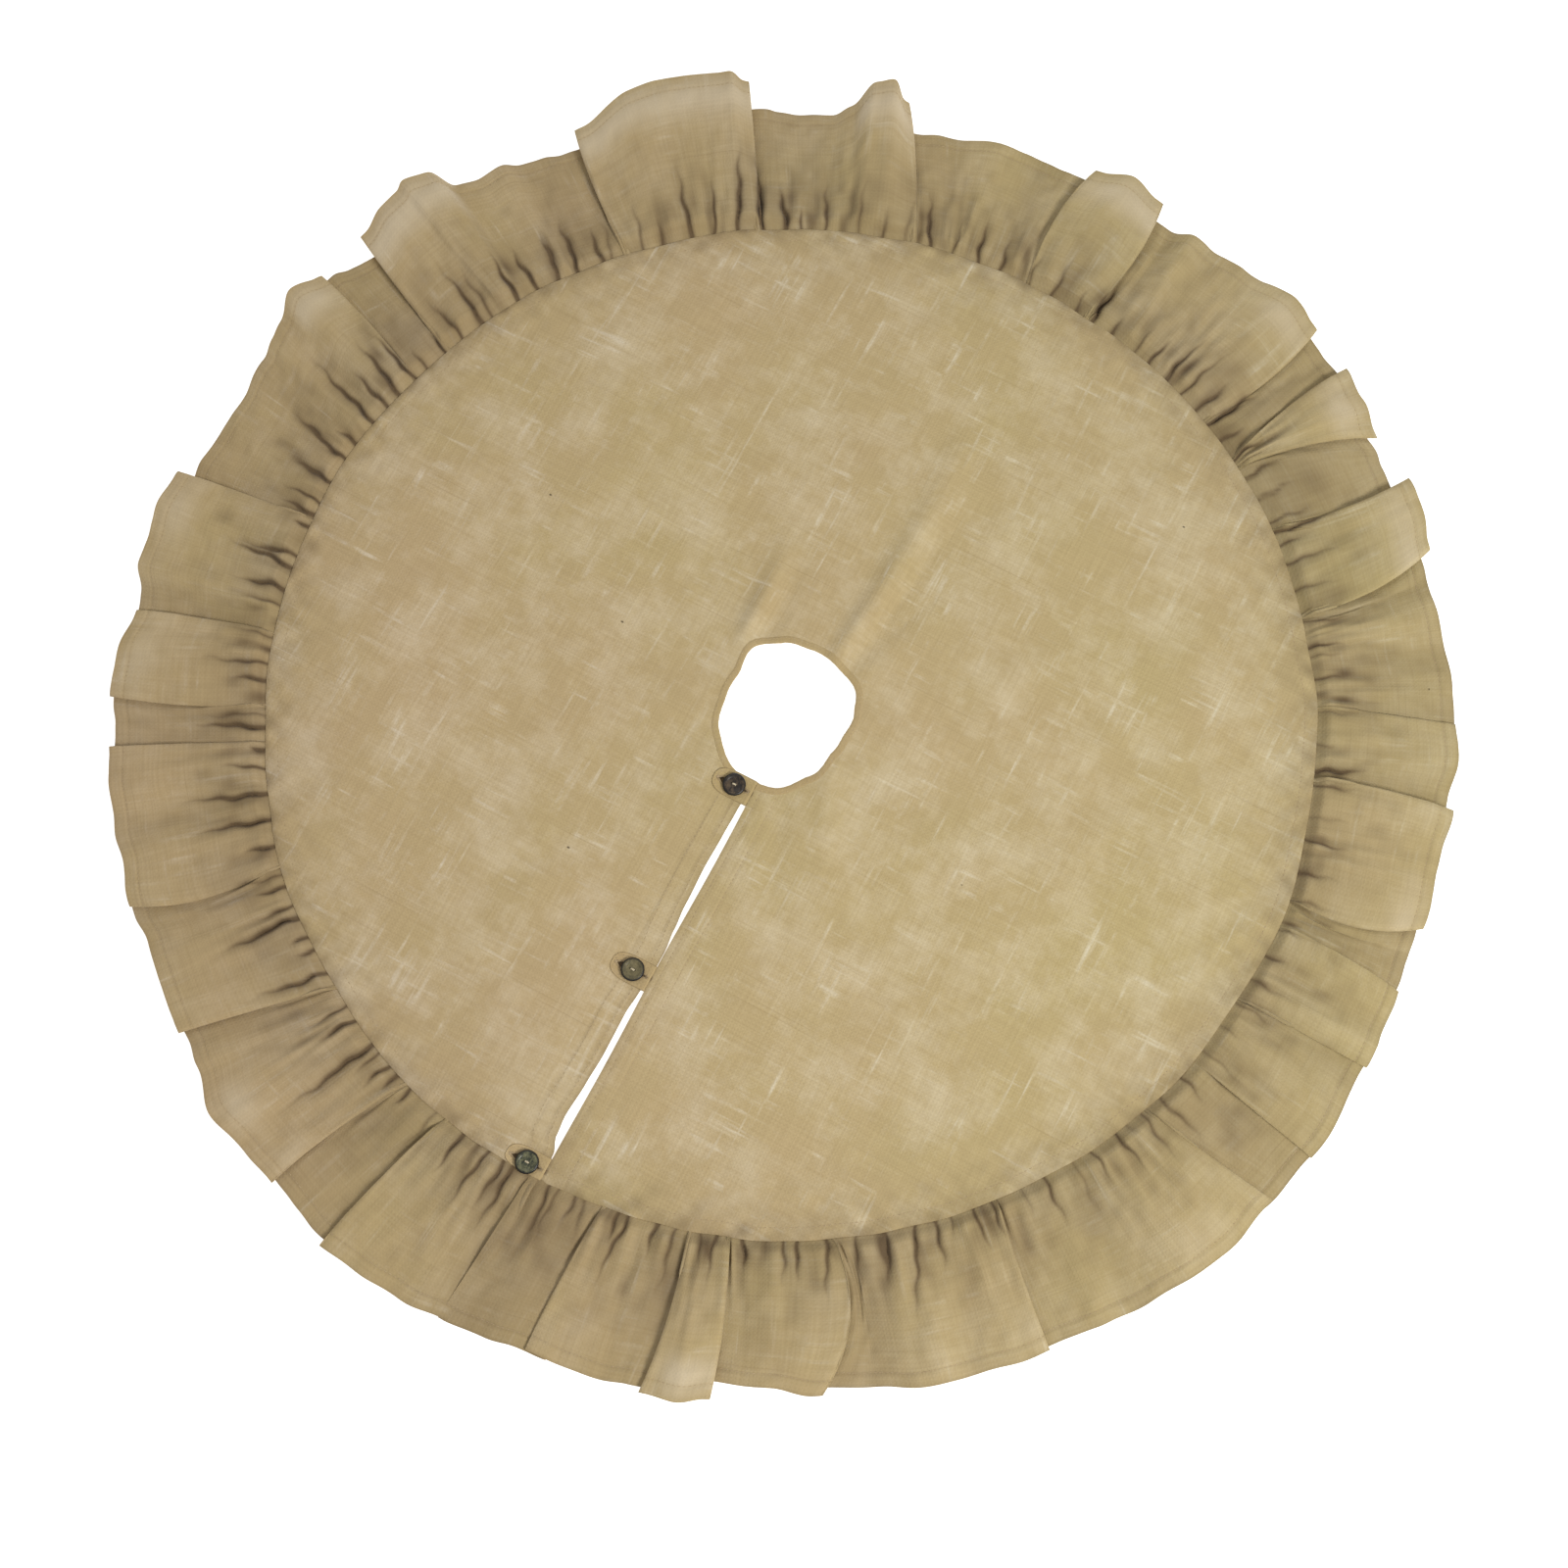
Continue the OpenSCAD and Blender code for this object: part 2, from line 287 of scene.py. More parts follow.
def place_camera():
    """Looks down at the skirt from in front, turned so that the slit runs down and to the left."""
    a, e = math.radians(CAMERA_AZIMUTH), math.radians(CAMERA_ELEVATION)
    place = Vector((math.sin(a) * math.cos(e), -math.cos(a) * math.cos(e), math.sin(e)))
    right = Vector((math.cos(a), math.sin(a), 0))
    ahead = Vector((-math.sin(a), math.cos(a), 0))
    aim = right * CAMERA_AIM[0] + ahead * CAMERA_AIM[1]
    camera = bpy.data.objects.new("camera", bpy.data.cameras.new("camera"))
    camera.data.lens = LENS
    camera.data.sensor_width = 36
    camera.location = place * CAMERA_DISTANCE
    camera.rotation_euler = (aim - camera.location).to_track_quat("-Z", "Y").to_euler()
    bpy.context.scene.collection.objects.link(camera)
    bpy.context.scene.camera = camera


def area_light(name, place, size, power, colour=(1, 1, 1)):
    """A round lamp that faces the middle of the skirt."""
    light = bpy.data.objects.new(name, bpy.data.lights.new(name, "AREA"))
    light.data.shape = "DISK"
    light.data.size = size
    light.data.energy = power
    light.data.color = colour
    light.location = place
    light.rotation_euler = (-Vector(place)).to_track_quat("-Z", "Y").to_euler()
    bpy.context.scene.collection.objects.link(light)


def place_floor():
    """A wide white floor, a little below the cloth."""
    far = FLOOR_REACH
    corners = [(-far, -far, 0), (far, -far, 0), (far, far, 0), (-far, far, 0)]
    floor = make_mesh("floor", corners, [(0, 1, 2, 3)])
    floor.location.z = -0.3 * MM
    material, shader, _ = new_material("floor_paper")
    shader.inputs["Base Color"].default_value = (0.8, 0.8, 0.8, 1)
    shader.inputs["Roughness"].default_value = 0.9
    shader.inputs["Emission Color"].default_value = (1, 1, 1, 1)
    shader.inputs["Emission Strength"].default_value = 0.75
    floor.data.materials.append(material)


def light_the_stage():
    """A pale studio: an even sky, soft light from the right and a weak one from behind."""
    scene = bpy.context.scene
    scene.view_settings.view_transform = "Standard"
    world = bpy.data.worlds.new("studio")
    scene.world = world
    world.use_nodes = True
    sky = world.node_tree.nodes["Background"]
    sky.inputs["Color"].default_value = (1, 1, 1, 1)
    sky.inputs["Strength"].default_value = 0.5
    area_light("key_light", (2.1, -0.6, 2.2), 1.1, 58, (1, 0.985, 0.955))
    area_light("fill_light", (-1.5, 1.6, 2.6), 2.2, 12)


# ---------------------------------------------------------------- materials

def new_material(name):
    material = bpy.data.materials.new(name)
    material.use_nodes = True
    tree = material.node_tree
    return material, tree.nodes["Principled BSDF"], tree


class Nodes:
    """Short ways to add and join shader nodes."""

    def __init__(self, tree):
        self.tree = tree

    def add(self, kind, **settings):
        node = self.tree.nodes.new(kind)
        for key, value in settings.items():
            setattr(node, key, value)
        return node

    def link(self, source, target):
        self.tree.links.new(source, target)

    def stretched(self, coords, scale):
        node = self.add("ShaderNodeMapping")
        node.inputs["Scale"].default_value = scale
        self.link(coords, node.inputs["Vector"])
        return node.outputs["Vector"]

    def noise(self, coords, scale=1.0, detail=3.0, rough=0.55):
        node = self.add("ShaderNodeTexNoise")
        node.inputs["Scale"].default_value = scale
        node.inputs["Detail"].default_value = detail
        node.inputs["Roughness"].default_value = rough
        self.link(coords, node.inputs["Vector"])
        return node.outputs["Fac"]

    def spread(self, value, low, high, to_low=0.0, to_high=1.0):
        """Maps low..high to to_low..to_high, held at both ends."""
        node = self.add("ShaderNodeMapRange")
        node.inputs["From Min"].default_value = low
        node.inputs["From Max"].default_value = high
        node.inputs["To Min"].default_value = to_low
        node.inputs["To Max"].default_value = to_high
        self.link(value, node.inputs["Value"])
        return node.outputs["Result"]

    def maths(self, operation, a, b=None):
        node = self.add("ShaderNodeMath", operation=operation)
        for socket, value in zip(node.inputs, (a, b)):
            if value is None:
                continue
            if isinstance(value, (int, float)):
                socket.default_value = value
            else:
                self.link(value, socket)
        return node.outputs[0]

    def mix(self, factor, a, b, blend="MIX"):
        node = self.add("ShaderNodeMix", data_type="RGBA", blend_type=blend)
        for key, value in (("Factor", factor), ("A", a), ("B", b)):
            socket = next(s for s in node.inputs if s.name == key and s.enabled)
            if isinstance(value, (int, float)):
                socket.default_value = value
            elif isinstance(value, tuple):
                socket.default_value = (*value, 1)
            else:
                self.link(value, socket)
        return next(s for s in node.outputs if s.enabled)

    def bump(self, height, distance, strength, under=None):
        node = self.add("ShaderNodeBump")
        node.inputs["Distance"].default_value = distance
        node.inputs["Strength"].default_value = strength
        self.link(height, node.inputs["Height"])
        if under is not None:
            self.link(under, node.inputs["Normal"])
        return node.outputs["Normal"]


THREAD_PITCH = 1.9 * MM
BLEACHED = (0.84, 0.78, 0.66)
SPECK = (0.05, 0.032, 0.018)
SHADOW = (0.09, 0.054, 0.027)
# The cloth is a little pinker on one side of the skirt and a little greener on the other
TINT_DIRECTION = (0.89, 0.45, 0)
PINKER = (1.0, 0.97, 0.955)
GREENER = (1.0, 1.03, 0.95)
# Cloudy places in the cloth are a little less blue
CLOUD_TINT = (0.985, 1.02, 0.93)


def jute_threads(n, cloth_at):
    """Uneven threads both ways, as a value about 0.5."""
    warp = n.noise(n.stretched(cloth_at, (520, 22, 1)), detail=2)
    weft = n.noise(n.stretched(cloth_at, (18, 470, 1)), detail=2)
    return n.maths("MULTIPLY", n.maths("ADD", warp, weft), 0.5)


def bleached_marks(n, cloth_at):
    """Short streaks along both directions of thread, gathered in patches."""
    warp = n.spread(n.noise(n.stretched(cloth_at, (160, 9, 1)), detail=4), 0.55, 0.72)
    weft = n.spread(n.noise(n.stretched(cloth_at, (11, 140, 1)), detail=4), 0.56, 0.73)
    patch = n.spread(n.noise(n.stretched(cloth_at, (26, 18, 1)), 1, 5, 0.7), 0.47, 0.62)
    return n.maths("MULTIPLY", patch, n.maths("MAXIMUM", warp, weft))


def dark_specks(n, cloth_at):
    """Rare husk flecks, in about one cell out of twenty-five."""
    cells = n.add("ShaderNodeTexVoronoi")
    cells.inputs["Scale"].default_value = 34
    n.link(n.stretched(cloth_at, (1, 1.6, 1)), cells.inputs["Vector"])
    pick = n.add("ShaderNodeSeparateColor")
    n.link(cells.outputs["Color"], pick.inputs["Color"])
    return n.maths("MULTIPLY", n.spread(cells.outputs["Distance"], 0.035, 0.06, 1, 0),
                   n.spread(pick.outputs["Red"], 0.955, 0.965))


def cloth_tint(n):
    """The change of colour across the skirt."""
    across = n.add("ShaderNodeVectorMath", operation="DOT_PRODUCT")
    n.link(n.add("ShaderNodeTexCoord").outputs["Object"], across.inputs[0])
    across.inputs[1].default_value = TINT_DIRECTION
    return n.mix(n.spread(across.outputs["Value"], -0.5, 0.6), PINKER, GREENER)


def plain_weave(n, cloth_at):
    """Over and under of the plain weave, -1 to 1."""
    split = n.add("ShaderNodeSeparateXYZ")
    n.link(cloth_at, split.inputs["Vector"])
    turns = math.pi / THREAD_PITCH
    over = n.maths("SINE", n.maths("MULTIPLY", split.outputs["X"], turns))
    under = n.maths("SINE", n.maths("MULTIPLY", split.outputs["Y"], turns))
    return n.maths("MULTIPLY", over, under)


def burlap(name, base, pale, dark, bleached, painted_shade_depth):
    """Coarse jute: uneven threads both ways, bleached blotches, slubs, flecks and a raised weave, with
    painted shade and highlight from the mesh.
    """
    material, shader, tree = new_material(name)
    n = Nodes(tree)
    cloth_at = n.add("ShaderNodeAttribute", attribute_name="weave").outputs["Vector"]
    threads = jute_threads(n, cloth_at)
    cloud = n.spread(n.noise(cloth_at, 4.2, 3, 0.5), 0.35, 0.68)
    blotch = n.spread(n.noise(cloth_at, 14, 7, 0.72), 0.45, 0.66)
    slub = n.spread(n.noise(n.stretched(cloth_at, (6, 620, 1)), detail=1), 0.68, 0.75)
    colour = n.mix(cloud, base, tuple(c * t for c, t in zip(base, CLOUD_TINT)))
    colour = n.mix(n.maths("MULTIPLY", blotch, 0.5 * bleached), colour, pale)
    colour = n.mix(n.maths("MULTIPLY", bleached_marks(n, cloth_at), 0.55 * bleached), colour, BLEACHED)
    colour = n.mix(n.spread(threads, 0.4, 0.62, 0.2, 0.0), colour, dark)
    colour = n.mix(n.maths("MULTIPLY", slub, 0.22), colour, dark)
    colour = n.mix(n.maths("MULTIPLY", dark_specks(n, cloth_at), 0.8), colour, SPECK)
    colour = n.mix(1.0, colour, cloth_tint(n), "MULTIPLY")
    # Painted shade: the mesh's values above 0 darken the colour towards SHADOW; painted highlight: values
    # below 0 make it paler
    tone_and_painted_light = n.add("ShaderNodeAttribute", attribute_name="tone_and_painted_light").outputs["Fac"]
    colour = n.mix(n.spread(tone_and_painted_light, 0, 1, 0, painted_shade_depth), colour, SHADOW)
    colour = n.mix(n.spread(tone_and_painted_light, -1, 0, 0.6, 0), colour, pale)
    n.link(colour, shader.inputs["Base Color"])
    weave = n.maths("MULTIPLY", plain_weave(n, cloth_at), 0.25)
    height = n.maths("ADD", weave, n.maths("MULTIPLY", threads, 2.4))
    n.link(n.bump(height, 0.5 * MM, 0.55), shader.inputs["Normal"])
    n.link(n.spread(threads, 0.35, 0.65, 0.94, 0.82), shader.inputs["Roughness"])
    shader.inputs["Specular IOR Level"].default_value = 0.18
    shader.inputs["Sheen Weight"].default_value = 0.12
    shader.inputs["Sheen Roughness"].default_value = 0.5
    return material


def spun_thread(name, colour, dark):
    """Sewing thread: fine twisted plies with a slight sheen."""
    material, shader, tree = new_material(name)
    n = Nodes(tree)
    where = n.add("ShaderNodeTexCoord").outputs["Object"]
    plies = n.add("ShaderNodeTexWave", bands_direction="DIAGONAL")
    plies.inputs["Scale"].default_value = 700
    plies.inputs["Distortion"].default_value = 1.5
    n.link(where, plies.inputs["Vector"])
    tone = n.mix(n.spread(n.noise(where, 260, 3), 0.35, 0.7), dark, colour)
    tone = n.mix(n.maths("MULTIPLY", plies.outputs["Fac"], 0.25), tone, dark)
    n.link(tone, shader.inputs["Base Color"])
    n.link(n.bump(plies.outputs["Fac"], 0.12 * MM, 0.6), shader.inputs["Normal"])
    shader.inputs["Roughness"].default_value = 0.7
    shader.inputs["Sheen Weight"].default_value = 0.2
    shader.inputs["Sheen Roughness"].default_value = 0.4
    return material


def coconut_shell(name, core, mottle, gloss, seed):
    """Polished shell: mottled, with fine growth streaks, small pores and a darker rim, partly the shell's own
    dark edge and partly painted shade.
    """
    material, shader, tree = new_material(name)
    n = Nodes(tree)
    where = n.add("ShaderNodeTexCoord").outputs["Object"]
    moved = n.add("ShaderNodeMapping")
    moved.inputs["Location"].default_value = (seed, seed * 0.7, 0)
    n.link(where, moved.inputs["Vector"])
    where = moved.outputs["Vector"]
    clouds = n.spread(n.noise(where, 210, 6, 0.72), 0.45, 0.62)
    streaks = n.noise(n.stretched(where, (900, 160, 500)), 1, 3)
    pores = n.spread(n.noise(where, 1500, 2, 0.5), 0.62, 0.72)
    colour = n.mix(clouds, core, mottle)
    colour = n.mix(n.spread(streaks, 0.5, 0.75, 0, 0.5), colour, tuple(c * 1.8 for c in mottle))
    colour = n.mix(n.maths("MULTIPLY", pores, 0.6), colour, tuple(c * 0.3 for c in core))
    # Painted shade: the mesh's values darken the rim, over the shell's own darker edge, and the back towards
    # black
    rim = n.add("ShaderNodeAttribute", attribute_name="tone_and_painted_light").outputs["Fac"]
    colour = n.mix(rim, colour, (0.009, 0.008, 0.007))
    n.link(colour, shader.inputs["Base Color"])
    height = n.maths("SUBTRACT", n.maths("MULTIPLY", streaks, 0.6), pores)
    n.link(n.bump(height, 0.08 * MM, 0.5), shader.inputs["Normal"])
    n.link(n.spread(clouds, 0, 1, gloss, gloss + 0.16), shader.inputs["Roughness"])
    shader.inputs["Specular IOR Level"].default_value = 0.35
    shader.inputs["Coat Weight"].default_value = 0.12
    shader.inputs["Coat Roughness"].default_value = 0.2
    return material


# ---------------------------------------------------------------- shapes of the cloth

# Eye-shaped buttonholes, held open by the buttons
EYE_CENTRE = -15.4 * MM
EYE_HALF_L = 15.8 * MM
EYE_HALF_W = 5.4 * MM

# Inner edge of the trunk hole: angle and radius in millimetres
HOLE = round_curve([(12, 72), (42, 61), (72, 51), (90, 50), (117, 55), (140, 60), (162, 58),
                    (192, 61), (215, 66), (237, 71), (262, 61), (282, 62), (312, 68), (345, 74)])
# Ridges of cloth that run out from the trunk hole: start and end (angle, radius in mm), height
# and half width in mm
RIDGES = [
    ((170, 70), (178, 380), 6.5, 10),
    ((158, 66), (168, 340), -3.0, 12),
    ((237, 88), (206, 190), 6.0, 8),
    ((226, 76), (204, 165), -2.5, 9),
    ((118, 62), (96, 200), 2.8, 14),
    ((62, 60), (38, 210), 3.2, 12),
    ((20, 85), (24, 240), -2.2, 11),
    ((300, 75), (285, 190), 2.0, 12),
]
BROAD = ripples(11, 12, 160 * MM, 420 * MM)
FINE = ripples(12, 16, 35 * MM, 100 * MM)
SEAM_WOBBLE = ripples(13, 9, 50 * MM, 220 * MM)
# A circle just outside the trunk hole, where the angles of the slit's edges are first taken
NEAR_HOLE_R = 70 * MM
# The panel's radius at the top of the slit
SLIT_TOP_R = 73 * MM
# The panel starts this far outside the binding's inner edge
PANEL_INSET = 1.2 * MM
# How far the layers of the seam lift the panel's edge
SEAM_BULK = 3.0 * MM
# Topstitching lies this far inside the seam, and presses a groove
GATHER_STITCH_IN = 11.5 * MM


def seam_radius(angle):
    """The seam between panel and ruffle isn't quite round."""
    p = around(angle, SEAM_R, 0)
    lean = 5.5 * MM * (np.cos(np.radians(angle - 235)) - 0.45)
    return SEAM_R - 1 * MM + lean + 1.3 * MM * SEAM_WOBBLE(p[..., 0], p[..., 1])


def ridge_height(x, y, start, end, height, half_width):
    """Height added by one ridge: a curved swelling that widens and fades along its length."""
    a = around(start[0], start[1] * MM, 0)
    b = around(end[0], end[1] * MM, 0)
    run = b - a
    length = float(np.hypot(run[0], run[1]))
    t = ((x - a[0]) * run[0] + (y - a[1]) * run[1]) / length ** 2
    off = ((x - a[0]) * run[1] - (y - a[1]) * run[0]) / length
    bend = off - 0.035 * length * np.sin(np.pi * np.clip(t, 0, 1))
    wide = half_width * MM * (1 + 0.9 * np.clip(t, 0, 1))
    fade = smoothstep((t + 0.18) / 0.3) * (1 - smoothstep((t - 0.25) / 0.75))
    return height * MM * np.exp(-(bend / wide) ** 2) * fade


def panel_height(x, y):
    """Height of the panel's upper face: soft waves, the ridges by the hole and the seam's bulk."""
    r = np.hypot(x, y)
    angle = np.degrees(np.arctan2(x, -y)) % 360
    z = PANEL_TOP + 1.6 * MM + 1.5 * MM * BROAD(x, y) + 0.32 * MM * FINE(x, y)
    for start, end, height, half_width in RIDGES:
        z = z + ridge_height(x, y, start, end, height, half_width)
    inside = seam_radius(angle) - r
    z = z - 0.45 * MM * np.exp(-((inside - GATHER_STITCH_IN) / (2.2 * MM)) ** 2)
    pucker = np.sin(np.radians(angle) * 61) + np.sin(np.radians(angle) * 97 + 2)
    z = z + 0.16 * MM * pucker * np.exp(-inside / (10 * MM))
    bulk = smoothstep(1 - inside / (34 * MM))
    z = z * (1 - bulk) + (PANEL_TOP + SEAM_BULK) * bulk
    z = z - 0.7 * MM * smoothstep(1 - inside / (2.5 * MM))
    beside = np.abs(x) - RIGHT_EDGE
    near_slit = np.where(y < 0, np.clip(1 - beside / (40 * MM), 0, 1), 0)
    z = z * (1 - near_slit) + np.minimum(z, PANEL_TOP + 0.7 * MM) * near_slit
    over_facing = np.where(y < 0, smoothstep((FACING_REACH - np.abs(x)) / (2.5 * MM)), 0)
    z = z + 0.45 * MM * over_facing
    for p in PLACES:
        pressed = np.exp(-((np.hypot(x - BUTTONS[p].x, y - BUTTONS[p].y) / (17 * MM)) ** 4))
        z = z * (1 - pressed) + (PANEL_TOP + 0.3 * MM) * pressed
    return np.maximum(z, PANEL_TOP)


# Width of the slit's gap at distances from the middle of the skirt, both in millimetres
GAP = [(60, 3.6), (84, 4.2), (104, 5.0), (130, 5.8), (160, 6.6), (200, 5.0), (225, 2.8),
       (247, 0.5), (276, 0.7), (287, 3.4), (310, 5.6), (350, 5.4), (380, 6.6), (412, 8.4), (430, 6.6),
       (446, 1.2), (455, 0.3), (500, 0.3)]


def slit_edge(y, side):
    """X of the panel's edge along the slit: it opens between the tabs and closes at each of them."""
    right = RIGHT_EDGE + 0.5 * MM * np.sin(y * 31)
    if side > 0:
        return right
    away, wide = np.array(GAP).T * MM
    return right - eased(-y, away, wide)


def slit_angle(radius, side):
    """Angle at which a circle meets the slit's edge on one side."""
    y = -radius
    for _ in range(3):
        x = slit_edge(y, side)
        y = -np.sqrt(np.maximum(radius ** 2 - x ** 2, 0))
    return np.degrees(np.arcsin(np.clip(slit_edge(y, side) / radius, -1, 1)))


def side_angles(side, radius, share):
    """Angles over one side of the crease at share 0..1: +1 opens, -1 stays."""
    if side > 0:
        return slit_angle(radius, 1) * (1 - share) + FOLD_ANGLE * share
    return FOLD_ANGLE * (1 - share) + (360 + slit_angle(radius, -1)) * share


# Names for the two sides of the crease: the one that stays (-1) and the one that opens (+1)
PART_OF = {-1: "main", 1: "flap"}
HAND_OF = {-1: "left", 1: "right"}


def follow(piece, side):
    """A piece of the side that stays is attached to the skirt; one of the opening side has its place baked
    into its points.
    """
    if side < 0:
        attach(piece, "skirt")
        return
    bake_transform(piece)


def assign(piece, side, node):
    """Hides the CAD node that a piece stands for, and hands the piece to follow for its side."""
    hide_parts(node)
    follow(piece, side)


def panel_grid(side):
    """Angle and radius of the panel's points, closer together at the buttons, slit and seam."""
    beside = [(-BUTTONS[p].y - SLIT_TOP_R) / (SEAM_R - SLIT_TOP_R) for p in PLACES]
    rows = spaced(150, lambda t: 1 + sum(6 * np.exp(-((t - b) / 0.022) ** 2) for b in beside)
                  + 2 * np.exp(-((1 - t) / 0.03) ** 2))
    if side < 0:
        columns = spaced(640, lambda t: 1 + 5 * np.exp(-((1 - t) / 0.022) ** 2))
    else:
        columns = np.linspace(0, 1, 130)
    down, across = np.meshgrid(rows, columns, indexing="ij")
    radius = HOLE(side_angles(side, NEAR_HOLE_R, across)) * MM + PANEL_INSET
    angle = side_angles(side, radius, across)
    for _ in range(2):
        inner = HOLE(angle) * MM + PANEL_INSET
        radius = inner + (seam_radius(angle) - inner) * down
        angle = side_angles(side, radius, across)
    return angle, radius


def panel_darkness_and_painted_shadow(side, x, y, inside):
    """Darkening of the panel at its seam and along its slit, and a painted shadow inside the buttonholes,
    under the buttons.
    """
    mottled = 0.55 + 0.45 * FINE(x * 2.5, y * 2.5)
    darkness = (0.26 * np.exp(-inside / (14 * MM)) + 0.12 * np.exp(-inside / (60 * MM))) * (0.4 + mottled)
    edge = np.where(y < 0, np.abs(x - slit_edge(y, side)), 1)
    seams = np.exp(-edge / (2.5 * MM)) * 0.35
    for out, deep in ((8 * MM, 0.17), (22 * MM, 0.11)):
        seams = seams + deep * np.exp(-((edge - out) / (1.6 * MM)) ** 2)
    darkness = darkness + seams * (0.5 + 0.5 * mottled)
    # Painted shadow of each button, darkening the panel inside its buttonhole
    for p in PLACES:
        away_x = (x - EYE_CENTRE) / (EYE_HALF_L + 1 * MM)
        away_y = (y - BUTTONS[p].y) / (EYE_HALF_W + 2 * MM)
        darkness = darkness + 1.8 * smoothstep((1.2 - np.hypot(away_x, away_y)) / 0.25)
    return np.clip(darkness, 0, 1)


def panel_piece(side, material):
    """One side's share of the round panel."""
    angle, radius = panel_grid(side)
    flat = around(angle, radius, 0)
    x, y = flat[..., 0], flat[..., 1]
    points = flat.copy()
    points[..., 2] = panel_height(x, y)
    darkness = panel_darkness_and_painted_shadow(side, x, y, seam_radius(angle) - radius)
    piece = cloth("panel_cloth_" + PART_OF[side], points, flat, CLOTH_T, darkness, material)
    assign(piece, side, "panel_" + PART_OF[side])


# Section of the binding: distance from the hole's edge and height above the panel's face, in
# millimetres, from its outer edge over the panel and back underneath
BINDING_SECTION = [(6.8, -0.1), (6.2, 0.25), (4.5, 0.42), (2.2, 0.45), (0.6, 0.25), (0, -0.3),
                   (0.2, -0.9), (1.4, -1.25), (3.6, -1.3)]
BINDING_T = 0.6 * MM


def neck_binding_piece(side, material):
    """The strip folded over the panel's edge round the trunk hole."""
    across = np.linspace(0, 1, 300 if side < 0 else 60)
    base = HOLE(side_angles(side, NEAR_HOLE_R, across)) * MM
    angle = side_angles(side, base, across)
    base = HOLE(angle) * MM
    pucker = 0.25 * np.sin(np.radians(angle) * 46) + 0.2 * np.sin(np.radians(angle) * 71 + 1)
    rows = []
    for out, up in BINDING_SECTION:
        radius = base + out * MM + 0.25 * MM * pucker
        flat = around(angle, radius, 0)
        raised = 0.15 * MM * pucker if up > 0.3 else 0
        z = panel_height(flat[:, 0], flat[:, 1]) + up * MM + raised
        rows.append(around(angle, radius, z))
    points = np.array(rows)
    run = np.radians(angle)[None, :] * TRUNK_HOLE_R
    wide = np.arange(len(rows))[:, None] * 2.2 * MM
    weave = np.stack(np.broadcast_arrays(run, wide, 0.0), -1)
    shade = np.full(points.shape[:2], 0.06)
    piece = cloth("neck_binding_cloth_" + PART_OF[side], points, weave, BINDING_T, shade, material)
    assign(piece, side, "neck_binding_" + PART_OF[side])


def facing_piece(side, material):
    """The strip under one edge of the slit."""
    low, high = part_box("slit_facing_" + HAND_OF[side])
    y = np.linspace(low.y, high.y, 120)
    across = np.linspace(0, 1, 8)
    edge = slit_edge(y, side) + side * 0.6 * MM
    x = edge[:, None] + side * FACING_W * across[None, :]
    y = np.broadcast_to(y[:, None], x.shape)
    z = np.maximum(panel_height(x, y) - CLOTH_T - 0.15 * MM, FACING_T + 0.05 * MM)
    points = np.stack([x, y, z], -1)
    weave = np.stack([x, y, 0 * x], -1)
    shade = np.full(x.shape, 0.1)
    piece = cloth("slit_facing_cloth_" + HAND_OF[side], points, weave, FACING_T, shade, material)
    assign(piece, side, "slit_facing_" + HAND_OF[side])


# ---------------------------------------------------------------- ruffle

# How the ruffle lies, from its right-hand end at the slit round to its left-hand end. A soft
# place is (hem angle, seam angle, height, hem radius). An edge, where the cloth doubles back on
# itself, is (hem angle, seam angle, height, hem radius of the top layer, side, overlap angle,
# bow, hem radius of the lower layer): on side 1 the cloth before it lies on top, on side -1 the
# cloth after it. Heights and radii are in millimetres.
FLAP_FOLDS = [
    (-1.7, -0.9, 5, 609), (2.5, 3, 4.5, 606), (5.5, 7.4, 8, 603, -1, 2.2, -0.3, 604), (10, 10.5, 6, 603),
    (13.8, 15, 3.5, 603), (15.2, 16.8, 11, 608, -1, 1.2, 0.4, 604), (18.3, 19.2, 17, 610),
    (21.3, 21.2, 14, 605, 1, 2.5, 0.4, 588), (26, 26.5, 6, 590), (30.3, 32, 9, 597, 1, 2.4, 1.9, 591),
    (34.9, 33.9, 2.5, 593), (40, 39.5, 10, 600), (43, 43.5, 5, 600), (46.5, 47, 10, 600),
    (49, 49.6, 11, 600, 1, 1.6, -0.2, 597),
]
